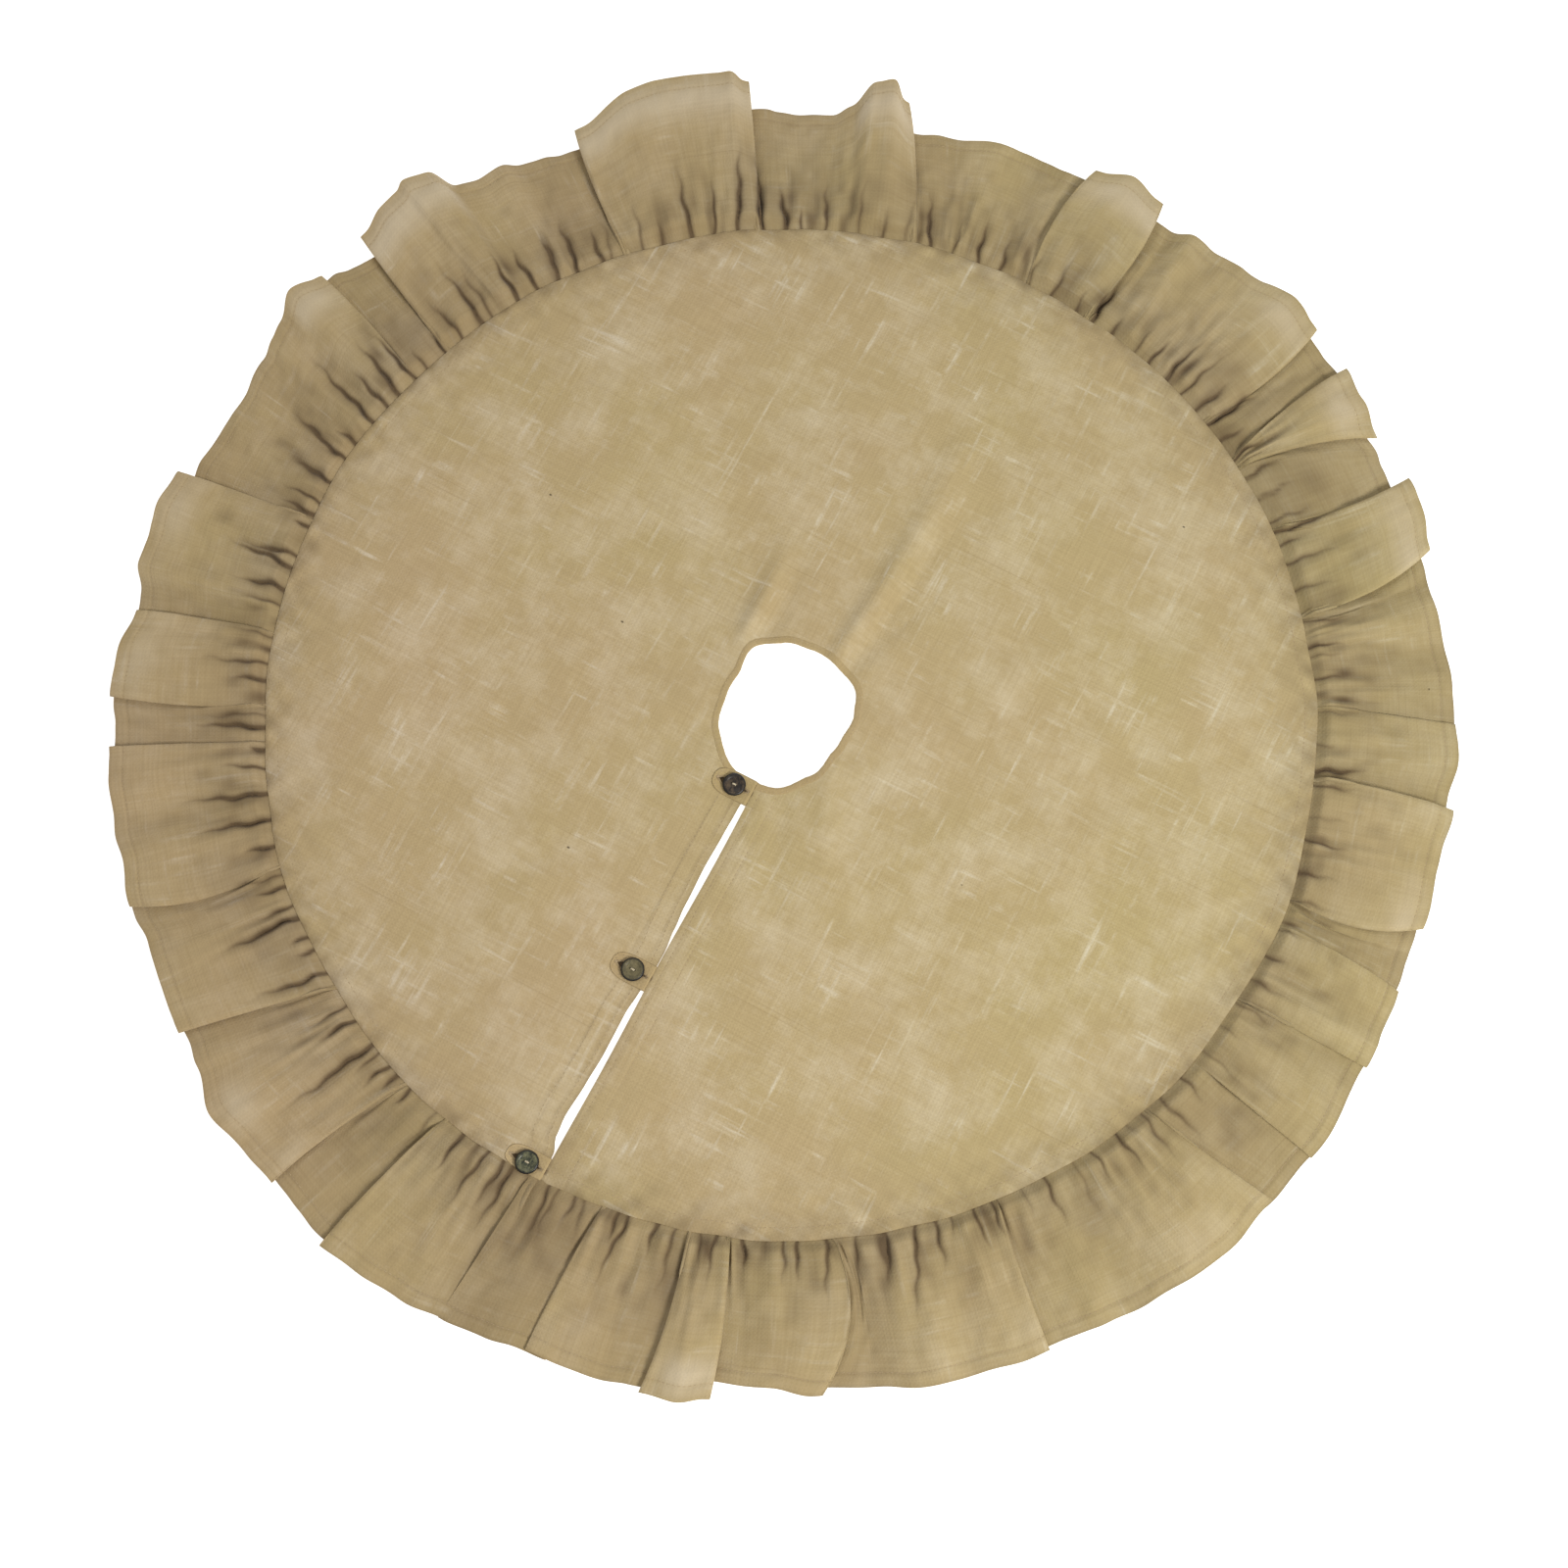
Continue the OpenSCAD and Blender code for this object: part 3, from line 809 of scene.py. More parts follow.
MAIN_FOLDS = [
    (FOLD_ANGLE, FOLD_ANGLE, 4, 597), (54, 54.5, 7, 599), (57.5, 58.3, 2.5, 600), (63.5, 63.5, 11, 604),
    (71.2, 68.3, 9, 597, 1, 2.2, 0, 597), (73.5, 72.3, 3.5, 597), (75.6, 75.4, 5, 597, -1, 0.9, 0, 596),
    (80, 79.5, 7, 595), (84.6, 83.8, 5, 592, -1, 0.8, 0, 590), (86.6, 86.4, 10, 590), (88.4, 88.3, 4, 589),
    (90.5, 90.7, 8, 587), (92.2, 93.2, 9, 586, 1, 1.3, 0.3, 584), (95, 94.7, 2, 583),
    (97.6, 96.2, 14, 588, -1, 3, -1.3, 582), (101, 101, 12, 586), (105, 105, 8, 588),
    (109, 110.2, 11, 594, 1, 2.4, 0.3, 590), (113, 113, 7, 596), (116.8, 118.4, 6, 595, 1, 0.9, 0, 594),
    (120, 120.5, 5, 594), (122.7, 122.9, 2.5, 594), (126.5, 125.8, 8, 593), (129.8, 127.4, 2, 592),
    (132.2, 128.6, 15, 602, -1, 3, -0.9, 592), (136, 134.5, 13, 609),
    (139.4, 139.6, 12, 608, 1, 2.8, -0.7, 593), (141.5, 142.5, 3, 592),
    (143.4, 147.2, 12, 600, -1, 2.6, 0.6, 594), (147.3, 147.9, 15, 607),
    (150.7, 148.7, 12, 613, 1, 2.4, 0.7, 605), (152.5, 151.6, 3, 606),
    (154.6, 153.8, 13, 615, -1, 2.8, -0.8, 607), (157.5, 157.5, 14, 619), (163, 162, 8, 610),
    (166.5, 165.4, 6, 603), (168.6, 167.6, 9, 603), (170.5, 170.2, 2.5, 597),
    (172.4, 172, 16, 611, -1, 3, -0.8, 596), (176, 176, 17, 618), (179.6, 180.1, 13, 609, 1, 2.6, 0.9, 597),
    (184, 184, 4, 598), (188, 188, 9, 600), (193.3, 190.6, 4, 594), (197, 193.6, 15, 616, -1, 3, -0.2, 590),
    (198.7, 197.6, 25, 634), (200.3, 200, 22, 630), (202.3, 202, 9, 608), (204, 204, 4, 600),
    (207, 206.6, 3, 599), (209.3, 208.7, 4, 602), (211.3, 211.2, 18, 630, -1, 4.2, 0, 604),
    (213, 214, 24, 641), (217.5, 217.5, 21, 642), (222, 221.7, 23, 637),
    (227.8, 227.1, 16, 613, 1, 4.5, 0.5, 598), (231, 231, 4, 602), (233.4, 233.2, 4, 603),
    (234.8, 234.2, 8, 608), (237, 236.6, 9, 608), (239.3, 238.8, 9, 615), (240.8, 240.3, 21, 635),
    (243.2, 242.4, 20, 638), (243.9, 242.9, 15, 633), (246, 246, 19, 631),
    (249.2, 250.4, 16, 620, 1, 3.6, 0.1, 600), (251.6, 252.4, 3, 603),
    (253.6, 255, 13, 616, -1, 2, -0.3, 609), (256.8, 257.6, 19, 623), (259.4, 261.4, 7, 613),
    (261, 263, 10, 608), (263, 265, 4, 602), (267, 267.6, 6, 595), (272, 272, 5, 593),
    (275.4, 275, 11, 612, -1, 1.8, 0, 598), (279, 279.6, 13, 615), (284.3, 285, 9, 612),
    (286.9, 286.9, 3, 603), (288.4, 288.6, 10, 603, -1, 1.2, -0.2, 601), (293, 292, 13, 613),
    (296.7, 297, 11, 614, 1, 1.8, 0.5, 610), (298.8, 299.5, 4, 608), (300.6, 301, 8, 612, -1, 0.9, 0, 607),
    (304.5, 304.5, 10, 614), (308, 308, 5, 611), (311, 310.5, 9, 607),
    (315, 315.2, 10, 611, 1, 1.8, 1.2, 608), (318, 318.5, 5, 602), (322, 321.5, 9, 604),
    (326.6, 330, 10, 607, 1, 2, -0.2, 603), (329.5, 332, 7, 607), (334, 334.5, 14, 618),
    (338, 338.5, 9, 613), (341.3, 343, 12, 611, 1, 2.6, -0.5, 610), (344, 344.8, 4, 612),
    (347.1, 348.3, 10, 619, -1, 2.2, -0.4, 614), (351, 351, 9, 618), (355, 355, 6, 614),
    (358, 357.6, 3.4, 612), (360.6, 360, 2.2, 610),
]
# Deep pinched creases at the seam: angle at the seam, lean over the ruffle, reach as a share of
# its width, and depth in millimetres
DEEP = [
    (111, 1.6, 0.34, 6), (125.2, -0.8, 0.25, 4), (138.8, -0.6, 0.4, 6), (153.6, -1, 0.4, 7),
    (171.4, 0.4, 0.35, 7), (186.2, 1.8, 0.3, 5), (192, 3, 0.4, 5), (208.4, 1.6, 0.34, 8),
    (211.2, 0.2, 0.48, 7), (213.8, -1.8, 0.48, 6), (216.6, -2, 0.3, 4), (229.8, -0.6, 0.28, 5),
    (232.6, -0.6, 0.42, 6), (235, -1, 0.36, 4), (237.8, 1, 0.34, 6), (240.3, 0, 0.32, 6),
    (245, 0.5, 0.4, 5), (248, 0.8, 0.3, 4), (255.2, -1, 0.4, 6), (257.6, -2.6, 0.4, 7), (259.5, -1, 0.3, 6),
    (262, -2.6, 0.6, 6), (267.4, -3, 0.5, 5), (270.2, -0.6, 0.3, 6), (273, -0.8, 0.3, 4),
    (276, -0.4, 0.1, 9), (281, -2, 0.42, 7), (283.5, 0.2, 0.32, 6), (294.2, 0, 0.2, 6),
    (299.5, -1.2, 0.42, 6), (301.8, -0.6, 0.1, 6), (304, -1.4, 0.26, 4), (307, -0.9, 0.5, 6),
    (309.8, 0, 0.48, 6), (312.8, 0.6, 0.2, 7), (317.6, -0.8, 0.2, 5), (321, 1, 0.48, 6),
    (323.6, 0.1, 0.12, 8), (325, 0.3, 0.12, 7), (328, -2.2, 0.45, 6), (334, -0.8, 0.22, 4),
    (337.2, -0.2, 0.6, 5), (340, 0.6, 0.2, 5), (351, -0.4, 0.26, 5), (354, -0.4, 0.4, 4),
    (357.2, -0.2, 0.4, 4), (4.4, -1, 0.2, 3), (10.4, -2.6, 0.44, 4), (13.4, -1.2, 0.2, 4),
    (19.6, -0.6, 0.3, 3), (22.6, 0.8, 0.2, 6), (28.2, -0.5, 0.26, 5), (40.6, -3.2, 0.55, 4),
    (42.8, -1.4, 0.3, 4),
]
# Mean angle between one crease and the next
GATHER_STEP = 2.9
RUFFLE_W = HEM_R - SEAM_R
# Distance between the ruffle's columns of points, measured along the strip
RUFFLE_PITCH = 1.0 * MM
# Rows from the seam (0) to the hem (1), closer together at the gathers and at the hem's stitching
ROWS = spaced(58, lambda v: 1 + 3 * np.exp(-(v / 0.1) ** 2) + 1.6 * np.exp(-((v - 0.92) / 0.04) ** 2))
DOWN = ROWS[:, None]


def ruffle_knots(folds):
    """Hem angle, seam angle, bow, share of the overlap, height, radius for each turn of the strip.
    An edge becomes the six places where the cloth runs up, over and back under itself."""
    knots = []
    for fold in folds:
        if len(fold) == 4:
            hem, seam, height, radius = fold
            knots.append((hem, seam, 0, 0, 0, height, radius))
            continue
        hem, seam, height, over_r, side, overlap, bow, under_r = fold
        turns = [(min(0.5, 0.7 / overlap), 1.0, 1.0), (0.0, 0.8, 1.0), (0.45, 0.46, 0.5),
                 (1.0, 0.34, 0.1), (0.5, 0.14, 0.0), (-0.35, 0.14, 0.0)]
        stack = [(hem, seam, bow, -side * back, overlap, height * up + (2.0 if up < 0.2 else 0),
                  under_r + (over_r - under_r) * top) for back, up, top in turns]
        knots += stack if side > 0 else stack[::-1]
    return np.array(knots, float)


def smooth_along(values, width):
    """Rounds values along the last axis, with the ends held."""
    reach = int(3 * width)
    kernel = np.exp(-0.5 * (np.arange(-reach, reach + 1) / width) ** 2)
    kernel /= kernel.sum()
    padded = np.concatenate([2 * values[..., :1] - values[..., reach:0:-1], values,
                             2 * values[..., -1:] - values[..., -2:-reach - 2:-1]], axis=-1)
    return np.apply_along_axis(lambda row: np.convolve(row, kernel, mode="valid"), -1, padded)


def gather_creases():
    """The pinched creases all round the seam: the deep ones, and shallow ones between them."""
    rng = np.random.default_rng(21)
    creases = list(DEEP)
    taken = np.array([c[0] for c in DEEP])
    angle = -1.0
    while angle < 361:
        angle += GATHER_STEP * rng.uniform(0.7, 1.3)
        lean, reach, depth = rng.uniform(-1.2, 1.0), rng.uniform(0.14, 0.4), rng.uniform(1.8, 4.6)
        if np.min(np.abs(taken - angle)) > 1.1:
            calm = 0.7 if 52 < angle < 135 else 1.0
            creases.append((angle, lean, reach, depth * calm))
    return creases


WRINKLES = ripples(31, 22, 14 * MM, 50 * MM)
SWELLS = ripples(32, 12, 60 * MM, 160 * MM)
HEM_WOBBLE = ripples(33, 10, 30 * MM, 140 * MM)
FLUTES = ripples(34, 18, 11 * MM, 34 * MM)
DARK_BLOTCHES = ripples(35, 18, 18 * MM, 70 * MM)
# Width of the hem's doubled band, and how far inside the hem its stitching runs
HEM_BAND = 11 * MM
HEM_STITCH_IN = 12 * MM


def lay_strip():
    """Runs the strip through its folds. Gives the distance along it at each column, the angle of
    each point, the height and hem radius of the folds, and the column on the crease."""
    knots = ruffle_knots(FLAP_FOLDS + MAIN_FOLDS)
    hem, seam, bow, share, overlap, height, radius = knots.T
    hem_x = np.radians(hem + share * overlap) * HEM_R
    step = np.hypot(np.diff(hem_x), np.diff(height * MM))
    reach = np.concatenate([[0], np.cumsum(step + 0.3 * MM)])
    along = np.linspace(0, reach[-1], int(reach[-1] / RUFFLE_PITCH) + 1)
    crease_column = int(np.argmin(np.abs(along - reach[len(ruffle_knots(FLAP_FOLDS))])))
    knot = np.clip(np.searchsorted(reach, along, side="right") - 1, 0, len(reach) - 2)
    part = (along - reach[knot]) / (reach[knot + 1] - reach[knot])

    def between(values, weight):
        return values[..., knot] * (1 - weight) + values[..., knot + 1] * weight

    # Each fold fans out from the seam, where the gathers hold its layers almost on one line
    line = seam + (hem - seam) * DOWN + 4 * bow * DOWN * (1 - DOWN)
    fan = overlap * (0.14 + 0.86 * DOWN ** 0.8)
    angle = smooth_along(between(line + share * fan, part), 3.0)
    level = smoothstep(part)
    height = smooth_along(between(height[None], level), 2.2) * MM
    radius = smooth_along(between(radius[None], level), 3.0) * MM
    return along, angle, height, radius, crease_column


def pinch_strip(angle):
    """Depth of the pinched creases at each point of the strip, and the painted shade of the dark line inside
    them.
    """
    crease = np.zeros_like(angle)
    pinch = np.zeros_like(angle)
    for at, lean, reach, depth in gather_creases():
        bend = at + lean * DOWN + 0.11 * np.sin(DOWN * 19 + at * 3) + 0.09 * np.sin(DOWN * 37 + at)
        fade = 1 - smoothstep((DOWN - 0.3 * reach) / (1.0 * reach))
        narrow = 0.2 + 0.8 * DOWN
        width = 0.08 + 0.12 * fade + 0.1 * DOWN
        for whole in (-360, 0, 360):
            gap = np.abs(angle - bend - whole)
            crease += depth * MM * fade * np.exp(-gap / narrow)
            pinch += min(1, depth / 5) * fade * np.exp(-(gap / width) ** 1.5)
    return crease, pinch


def strip_height(along, height, crease, flute):
    """Height of the strip's upper face, from its folds, puffed gathers, creases and wrinkles, and
    the depth of the creases, which can't reach below the strip's foot."""
    swell = SWELLS(along, DOWN * 0.13)
    loft = height * (0.42 + 0.58 * smoothstep(DOWN / 0.75)) * (1 - 0.2 * smoothstep((DOWN - 0.82) / 0.18))
    puff = (4.6 * (1 - 0.75 * smoothstep((DOWN - 0.1) / 0.6)) + 1.5 * swell * (1 - DOWN * 0.3)) * MM
    at_seam = 1.2 * MM * (1 - DOWN) * np.minimum(1, DOWN / 0.03)
    crease = np.minimum(crease, (puff + loft) * 0.97 + at_seam)
    wrinkle = 0.4 * MM * WRINKLES(along, DOWN * 0.13) * smoothstep(DOWN / 0.2)
    wrinkle = wrinkle + (0.3 + 1.5 * (1 - smoothstep(DOWN / 0.75))) * MM * flute
    heading = PANEL_TOP + SEAM_BULK - 1.8 * MM
    settle = smoothstep((DOWN - 0.04) / 0.4)
    z = heading * (1 - settle) + 1.1 * MM * settle
    z = z + smoothstep(DOWN / 0.1) * (loft + puff - crease + wrinkle)
    z = z - 0.5 * MM * smoothstep((DOWN - 0.93) / 0.07)
    z = z + 0.55 * MM * smoothstep((DOWN - (1 - HEM_BAND / RUFFLE_W)) / 0.012)
    return np.maximum(z, CLOTH_T + 0.15 * MM), crease


def strip_shade(along, height, crease, pinch, flute):
    """Painted shade and highlight of the strip: painted shade darkens its creases, the cloth near the
    seam and the places between folds, and a painted highlight makes the crests of high folds paler."""
    dark_blotch = DARK_BLOTCHES(along, DOWN * 0.09)
    mottled = 1 + 0.2 * SWELLS(along * 2.1, DOWN * 0.11)
    seam_fade = 1 - smoothstep(DOWN / 0.8)
    # Painted shade where the cloth lies low between folds, and a painted highlight on the crests of high
    # folds near the hem
    low = 0.26 * (1 - smoothstep(height / (9 * MM))) * smoothstep(DOWN / 0.3) * mottled
    raised = smoothstep((height - 8 * MM) / (9 * MM)) * np.exp(-((DOWN - 0.84) / 0.12) ** 2)
    hem_line = 0.16 * np.exp(-((DOWN - 0.91) / 0.008) ** 2) + 0.2 * smoothstep((DOWN - 0.985) / 0.015)
    # Painted shade in the creases and pinches, near the seam and in the flutes' hollows, darker in blotches
    shade = (0.5 * crease / (5 * MM) + 0.8 * pinch) * np.minimum(1, DOWN / 0.015)
    shade = shade + 0.23 * seam_fade * mottled + low - 0.9 * raised + hem_line
    shade = shade + 0.24 * np.maximum(-flute, 0) * seam_fade * (1 + 0.6 * dark_blotch)
    shade = shade + 0.16 * np.maximum(dark_blotch, 0) * (1 - 0.6 * DOWN)
    # The strip's first end, beside the slit, is darker
    shade = shade + 0.16 * (1 - smoothstep((along - 50 * MM) / (20 * MM)))
    return np.clip(shade, -1, 1)


def ruffle_grid():
    """The gathered strip's upper face: rows from the seam to the hem, columns along the strip.
    Gives its points, cloth coordinates, darkening with painted shade and highlight, and the column on the
    crease."""
    along, angle, height, radius, crease_column = lay_strip()
    crease, pinch = pinch_strip(angle)
    flute = FLUTES(along + 0.012 * DOWN, DOWN * 0.03)
    z, crease = strip_height(along, height, crease, flute)
    shade = strip_shade(along, height, crease, pinch, flute)
    hem = radius + 1.6 * MM * HEM_WOBBLE(along, along * 0.3)
    seam = seam_radius(angle)
    points = around(angle, seam + (hem - seam) * DOWN - 1.6 * MM * (1 - DOWN), z)
    weave = np.stack(np.broadcast_arrays(along[None, :], DOWN * RUFFLE_W, 0.0), -1)
    return points, weave, shade, crease_column


def ruffle_piece(side, material, strip):
    """One side's share of the strip. Both shares have the crease's column of points."""
    *layers, crease_column = strip
    share = slice(crease_column, None) if side < 0 else slice(0, crease_column + 1)
    points, weave, shade = (layer[:, share] for layer in layers)
    piece = cloth("ruffle_cloth_" + PART_OF[side], points, weave, CLOTH_T, shade, material)
    assign(piece, side, "ruffle_" + PART_OF[side])
    return points


def hem_stitches(side, points, material):
    """The hem's stitching, along the ruffle's own surface just inside its doubled band."""
    row = int(np.argmin(np.abs(ROWS - (1 - HEM_STITCH_IN / RUFFLE_W))))
    normal = grid_normals(points)
    if normal[..., 2].mean() < 0:
        normal = -normal
    path = points[row] + normal[row] * 0.03 * MM
    piece = stitch_row("hem_stitches_" + PART_OF[side], path, normal[row], material, radius=0.26 * MM)
    assign(piece, side, "hem_thread_" + PART_OF[side])


# ---------------------------------------------------------------- stitching on the panel

def stitch_circle(name, node, side, angle, distance, material, lift=0.02 * MM, **size):
    """Running stitches on the panel, at a distance from the skirt's middle."""
    flat = around(angle, distance, 0)
    z = panel_height(flat[:, 0], flat[:, 1]) + lift
    path = around(angle, distance, z)
    piece = stitch_row(name, path, np.broadcast_to(UP, path.shape), material, **size)
    assign(piece, side, node)


def gather_stitches(side, material):
    angle = side_angles(side, SEAM_R, np.linspace(0.001, 0.999, 900))
    part = PART_OF[side]
    stitch_circle("gather_stitches_" + part, "gather_topstitch_" + part, side, angle,
                  seam_radius(angle) - GATHER_STITCH_IN, material, radius=0.28 * MM)


def neck_stitches(side, material):
    angle = side_angles(side, 74 * MM, np.linspace(0.004, 0.996, 300))
    part = PART_OF[side]
    stitch_circle("neck_stitches_" + part, "neck_topstitch_" + part, side, angle,
                  HOLE(angle) * MM + 5.2 * MM, material, lift=0.3 * MM, length=2.8 * MM, radius=0.28 * MM)


def facing_stitches(side, material):
    """Two rows along each edge of the slit, joined into one piece."""
    low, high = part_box("slit_facing_" + HAND_OF[side])
    y = np.linspace(high.y - 4 * MM, low.y + 2 * MM, 400)
    rows = []
    for inside in (6.5 * MM, 21 * MM):
        x = slit_edge(y, side) + side * inside
        path = np.stack([x, y, panel_height(x, y) + 0.02 * MM], -1)
        rows.append(stitch_row("row", path, np.broadcast_to(UP, path.shape), material, radius=0.26 * MM))
    piece = join("facing_stitches_" + HAND_OF[side], rows)
    assign(piece, side, "facing_topstitch_" + HAND_OF[side])


def join(name, pieces):
    with bpy.context.temp_override(active_object=pieces[0], selected_editable_objects=pieces):
        bpy.ops.object.join()
    pieces[0].name = name
    pieces[0].data.name = name
    return pieces[0]


# ---------------------------------------------------------------- tabs

# The lowest tab is trimmed to this share of its width on the side of the seam
LOWER_TRIM = 0.7
TAB_T = 0.85 * MM
# The tab's right-hand end is tucked this far under the opening side
TAB_TUCK = 4 * MM


def eye_point(turn):
    """Point of the eye-shaped buttonhole at a turn round its middle."""
    c, s = np.cos(turn), np.sin(turn)
    wide = np.where(c > 0, (1 - np.abs(c)) ** 1.5, (1 - np.abs(c) ** 1.6))
    return EYE_HALF_L * c, EYE_HALF_W * np.sign(s) * wide


def tab_edge(turn):
    """Point of the tab's outline at a turn, measured from the eye's middle."""
    half = TAB_W / 2
    right = RIGHT_EDGE + TAB_TUCK - EYE_CENTRE
    left = TAB_TIP - 4.5 * MM - EYE_CENTRE
    c, s = np.cos(turn), np.sin(turn)
    wide = np.where(c > 0, right, -left)
    power = np.where(c > 0, 9.0, 2.6)
    scale = (np.abs(c / wide) ** power + np.abs(s / half) ** power) ** (-1 / power)
    return scale * c, scale * s


def trimmed(place, y):
    """The lowest tab is narrower on the side of the seam."""
    return y * np.where(y < 0, LOWER_TRIM if place == "lower" else 1, 1)


def tab_height(x, y, place):
    """The tab lies on the left-hand panel, each one with a slightly different curl at its tip."""
    number = PLACES.index(place)
    ground = np.maximum(panel_height(x, y), PANEL_TOP + 0.4 * MM)
    bulk = 0.9 * MM + 0.12 * MM * np.sin(x * 400 + number)
    curl = 0.9 * MM * smoothstep((-x - 24 * MM) / (8 * MM)) * np.cos(number * 2.1)
    return ground + bulk + 0.4 * curl


def assign_to_tab(piece):
    """Bakes a tab piece's place into its points."""
    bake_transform(piece)


def tab_piece(place, material):
    """A strip of the same cloth, with an eye-shaped buttonhole across the slit."""
    turn = np.linspace(0, 2 * np.pi, 181)
    eye_x, eye_y = eye_point(turn)
    edge_x, edge_y = tab_edge(turn)
    out = spaced(26, lambda t: 1 + 3 * np.exp(-t / 0.05) + 3 * np.exp(-(1 - t) / 0.05))[:, None]
    x = EYE_CENTRE + eye_x * (1 - out) + edge_x * out
    y = BUTTONS[place].y + trimmed(place, eye_y * (1 - out) + edge_y * out)
    z = tab_height(x, y, place)
    tuck = smoothstep((x - RIGHT_EDGE + 2.0 * MM) / (3 * MM))
    z = z * (1 - tuck) + (panel_height(x, y) - CLOTH_T - 0.25 * MM) * tuck
    rim = smoothstep((out - 0.9) / 0.1)
    lip = 1 - smoothstep(out / 0.12)
    z = z + (0.1 * MM * lip - 0.35 * MM * rim) * (1 - tuck)
    points = np.stack([x, y, z], -1)
    points[:, -1] = points[:, 0]
    weave = np.stack([x, y, 0 * x], -1)
    # Painted shadow inside the buttonhole's edge, and painted shade along the tab's border
    shade = 0.04 + 0.8 * np.exp(-out / 0.03) * np.ones_like(x) + 0.5 * rim
    piece = cloth("tab_cloth_" + place, points, weave, TAB_T, shade, material)
    weld(piece)
    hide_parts("tab_" + place)
    assign_to_tab(piece)


def weld(piece):
    """Joins the first and last columns of a grid that closes on itself."""
    work = bmesh.new()
    work.from_mesh(piece.data)
    bmesh.ops.remove_doubles(work, verts=work.verts, dist=1e-6)
    work.to_mesh(piece.data)
    work.free()


BUTTONHOLE_STITCHES = 76


def buttonhole_piece(place, material):
    """Overcast stitches round the buttonhole, each a short thread over its edge."""
    strands = []
    for i in range(BUTTONHOLE_STITCHES):
        turn = 2 * np.pi * (i + 0.5) / BUTTONHOLE_STITCHES
        eye_x, eye_y = eye_point(turn)
        start = np.array([EYE_CENTRE + eye_x, BUTTONS[place].y + trimmed(place, eye_y)])
        out = np.array([np.cos(turn), np.sin(turn) + 0.25 * np.sign(np.sin(turn))])
        out /= np.linalg.norm(out)
        length = 1.9 * MM * (1 + 0.14 * math.sin(i * 2.7))
        steps = np.linspace(-0.12, 1, 6)
        x, y = (start[None] + out[None] * (steps * length)[:, None]).T
        z = tab_height(x, y, place) + 0.1 * MM
        z = z + 0.2 * MM * np.sin(np.pi * np.clip(steps, 0, 1)) - 0.5 * MM * (steps < 0)
        if x.max() < RIGHT_EDGE - 2.5 * MM:
            strands.append(np.stack([x, y, z], -1))
    piece = thread("buttonhole_stitches_" + place, strands, 0.21 * MM, material, sides=6)
    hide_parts("buttonhole_stitch_" + place)
    assign_to_tab(piece)


def tab_border_stitches(place, material):
    """Topstitching round the visible part of a tab, a little inside its edge."""
    edge_x, edge_y = tab_edge(np.linspace(0.36 * np.pi, 1.64 * np.pi, 200))
    x = EYE_CENTRE + edge_x * 0.86
    y = BUTTONS[place].y + 0.8 * trimmed(place, edge_y)
    z = tab_height(x, y, place) + 0.05 * MM
    path = np.stack([x, y, z], -1)[x < RIGHT_EDGE - 2 * MM]
    piece = stitch_row("tab_stitches_" + place, path, np.broadcast_to(UP, path.shape), material,
                       length=2.4 * MM, gap=1.0 * MM, radius=0.25 * MM)
    assign_to_tab(piece)


# ---------------------------------------------------------------- buttons

# The two thread holes of a button, this far from its middle
THREAD_HOLE_OUT = 1.9 * MM
THREAD_HOLE_R = 0.95 * MM
# Half of the button's section: radius and height in millimetres, and how dark it is, the rim partly by its
# own colour and partly by painted shade and the back by painted shade, from the middle of the dished face
# round to the middle of the back
BUTTON_SECTION = [
    (0.02, 2.2, 0), (3.4, 2.2, 0), (5.6, 2.24, 0), (6.7, 2.45, 0.15), (7.3, 2.86, 0.1), (8.0, 3.0, 0),
    (8.8, 2.98, 0.35), (9.5, 2.78, 0.95), (BUTTON_R / MM - 0.25, 2.2, 1), (BUTTON_R / MM, 1.6, 1),
    (BUTTON_R / MM - 0.2, 0.95, 1), (9.3, 0.4, 0.7), (7, 0.1, 0.3), (4, 0.02, 0.1), (0.02, 0, 0),
]


def lathe(section, segments=96):
    """Points, quads and shading of a turned disc."""
    turn = 2 * np.pi * np.arange(segments) / segments
    radius, height, dark = np.array(section, float).T[:, :, None]
    points = np.stack(np.broadcast_arrays(radius * MM * np.cos(turn), radius * MM * np.sin(turn),
                                          height * MM), -1)
    r, s = np.meshgrid(np.arange(len(section) - 1), np.arange(segments), indexing="ij")
    n = (s + 1) % segments
    quads = np.stack([r * segments + s, r * segments + n, (r + 1) * segments + n,
                      (r + 1) * segments + s], -1).reshape(-1, 4)
    return points.reshape(-1, 3), quads, np.broadcast_to(dark, points.shape[:2]).ravel()


def button_piece(place, material):
    """A two-hole button turned from shell: a raised rim, a dished face and a domed back."""
    points, quads, shade = lathe(BUTTON_SECTION)
    wear = ripples(40 + PLACES.index(place), 8, 6 * MM, 20 * MM)
    points[:, 2] += 0.07 * MM * wear(points[:, 0], points[:, 1]) * (points[:, 2] > 1.5 * MM)
    worn = np.minimum(1 + 0.006 * wear(points[:, 0] * 0.4, points[:, 1] * 0.4), 1)
    points[:, :2] *= worn[:, None]
    centre = BUTTONS[place]
    points += np.array([centre.x, centre.y, BUTTON_FLOOR])
    piece = make_mesh("shell_button_" + place, points, quads, None, shade)
    pierce(piece, [(centre.x + s * THREAD_HOLE_OUT, centre.y) for s in (-1, 1)], THREAD_HOLE_R)
    piece.data.materials.append(material)
    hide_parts("button_" + place)
    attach(piece, "button_" + place)


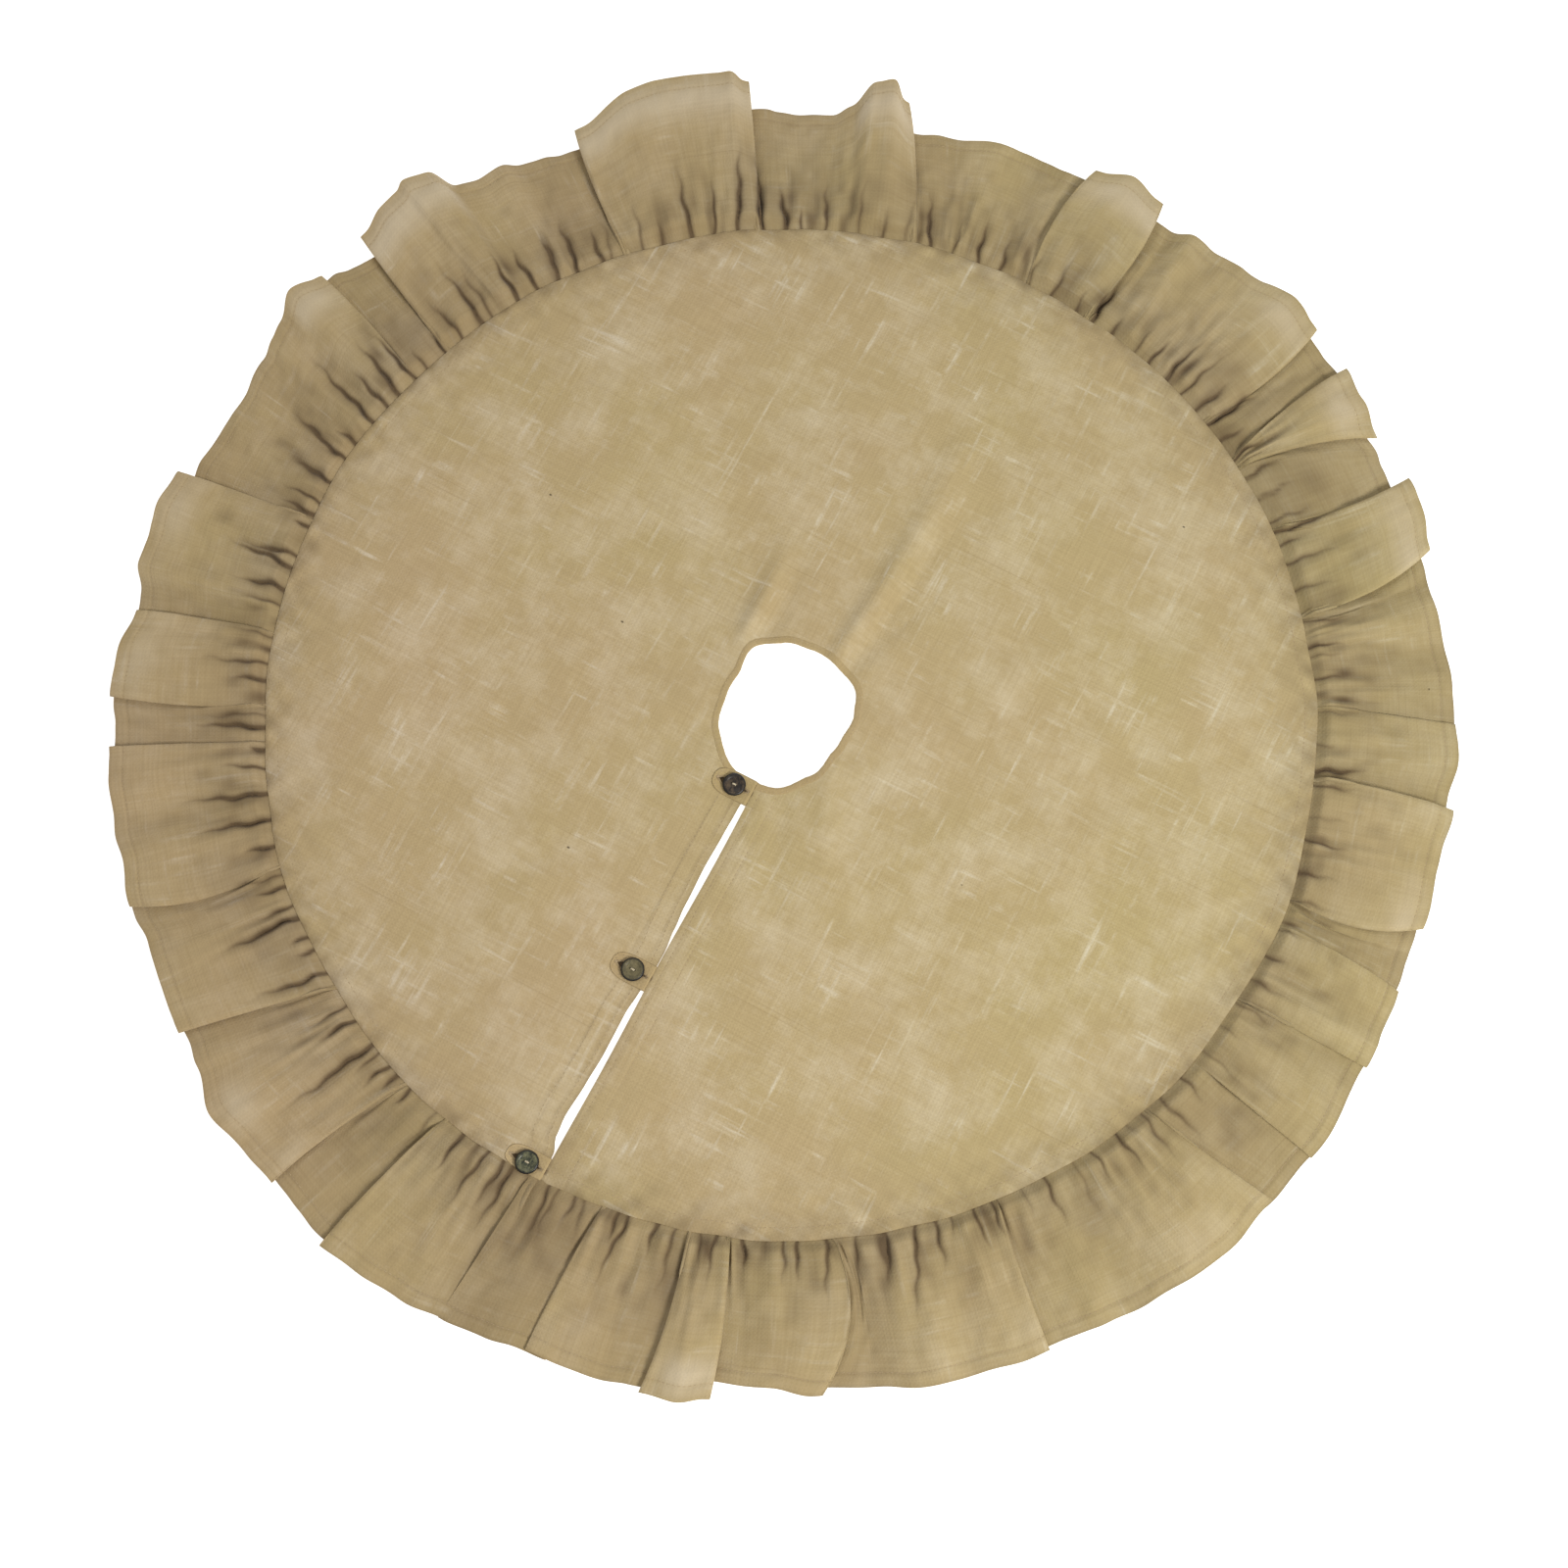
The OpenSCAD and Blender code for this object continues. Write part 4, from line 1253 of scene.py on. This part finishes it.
def pierce(piece, places, radius):
    """Drills round holes through a button."""
    turn = 2 * np.pi * np.arange(24) / 24
    for x, y in places:
        rings = [[(x + radius * np.cos(t), y + radius * np.sin(t), z) for t in turn]
                 for z in (BUTTON_FLOOR - 2 * MM, BUTTON_FLOOR + 6 * MM)]
        drill = make_mesh("drill", np.array(rings), tube_quads(2, 24))
        cut = piece.modifiers.new("drill", "BOOLEAN")
        cut.operation = "DIFFERENCE"
        cut.object = drill
        cut.solver = "EXACT"
        bpy.context.view_layer.update()
        graph = bpy.context.evaluated_depsgraph_get()
        mesh = bpy.data.meshes.new_from_object(piece.evaluated_get(graph))
        piece.modifiers.clear()
        piece.data = mesh
        bpy.data.objects.remove(drill)


def button_thread_piece(place, material):
    """Cream thread through the two holes: three strands side by side, the middle one on top."""
    centre = BUTTONS[place]
    base = np.array([centre.x, centre.y, BUTTON_FLOOR])
    t = np.linspace(0, np.pi, 15)
    down = np.linspace(0, 1, 4)[1:, None]
    strands = []
    for across, on_top in ((-0.5, 0), (0, 1), (0.5, 0)):
        arch = np.stack([-1.7 * MM * np.cos(t) * (1 + 0.05 * on_top), np.full_like(t, across * MM),
                         2.1 * MM + (0.7 + 0.2 * on_top) * MM * np.sin(t) ** 0.7], -1)
        drop = np.array([0, across * 0.4 * MM, 2.0 * MM])
        strands.append(base + np.concatenate([arch[0] - down[::-1] * drop, arch, arch[-1] - down * drop]))
    piece = thread("button_thread_" + place, strands, 0.28 * MM, material)
    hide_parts("button_stitch_" + place)
    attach(piece, "button_" + place)


SHANK_TURNS = 7


def shank_piece(place, material):
    """Thread wound into a shank between the cloth and the button."""
    centre = BUTTONS[place]
    low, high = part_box("thread_shank_" + place)
    t = np.linspace(0, 1, 240)
    turn = 2 * np.pi * SHANK_TURNS * t
    girth = 0.85 * MM * (0.75 + 0.25 * np.sin(np.pi * t))
    coil = np.stack([centre.x + girth * np.cos(turn), centre.y + girth * np.sin(turn),
                     low.z + 0.25 * MM + (high.z - low.z - 0.45 * MM) * t], -1)
    core = np.stack([np.full(6, centre.x), np.full(6, centre.y), np.linspace(low.z, high.z, 6)], -1)
    wound = thread("shank_wound_" + place, [coil], 0.2 * MM, material, sides=6)
    middle = thread("shank_core_" + place, [core], 0.7 * MM, material)
    piece = join("shank_thread_" + place, [wound, middle])
    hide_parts("thread_shank_" + place)
    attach(piece, "shank_" + place)


# ---------------------------------------------------------------- the skirt

def build():
    place_camera()
    light_the_stage()
    place_floor()
    jute = burlap("burlap_panel", (0.51, 0.39, 0.22), (0.72, 0.62, 0.455), (0.28, 0.19, 0.09), 1.0, 0.92)
    ruffle_jute = burlap("burlap_ruffle", (0.455, 0.345, 0.19), (0.67, 0.57, 0.415), (0.26, 0.172, 0.08),
                         0.5, 0.88)
    edge_jute = burlap("burlap_edge", (0.49, 0.365, 0.195), (0.64, 0.53, 0.36), (0.26, 0.17, 0.08), 0.4, 0.85)
    tan = spun_thread("thread_tan", (0.53, 0.41, 0.24), (0.40, 0.29, 0.16))
    cream = spun_thread("thread_cream", (0.78, 0.70, 0.52), (0.5, 0.41, 0.26))
    shells = {
        "upper": coconut_shell("shell_dark", (0.014, 0.010, 0.008), (0.105, 0.072, 0.04), 0.36, 0.3),
        "middle": coconut_shell("shell_olive", (0.10, 0.083, 0.038), (0.17, 0.14, 0.068), 0.5, 1.7),
        "lower": coconut_shell("shell_grey", (0.03, 0.034, 0.022), (0.17, 0.165, 0.085), 0.3, 2.9),
    }
    strip = ruffle_grid()
    for side in (-1, 1):
        panel_piece(side, jute)
        surface = ruffle_piece(side, ruffle_jute, strip)
        hem_stitches(side, surface, tan)
        neck_binding_piece(side, edge_jute)
        facing_piece(side, edge_jute)
        gather_stitches(side, tan)
        neck_stitches(side, tan)
        facing_stitches(side, tan)
    for place in PLACES:
        tab_piece(place, edge_jute)
        buttonhole_piece(place, tan)
        tab_border_stitches(place, tan)
        button_piece(place, shells[place])
        button_thread_piece(place, cream)
        shank_piece(place, cream)
    anchors = frame["nodes"]["button_anchor_stitches"]
    anchors.data.materials.clear()
    anchors.data.materials.append(cream)


build()
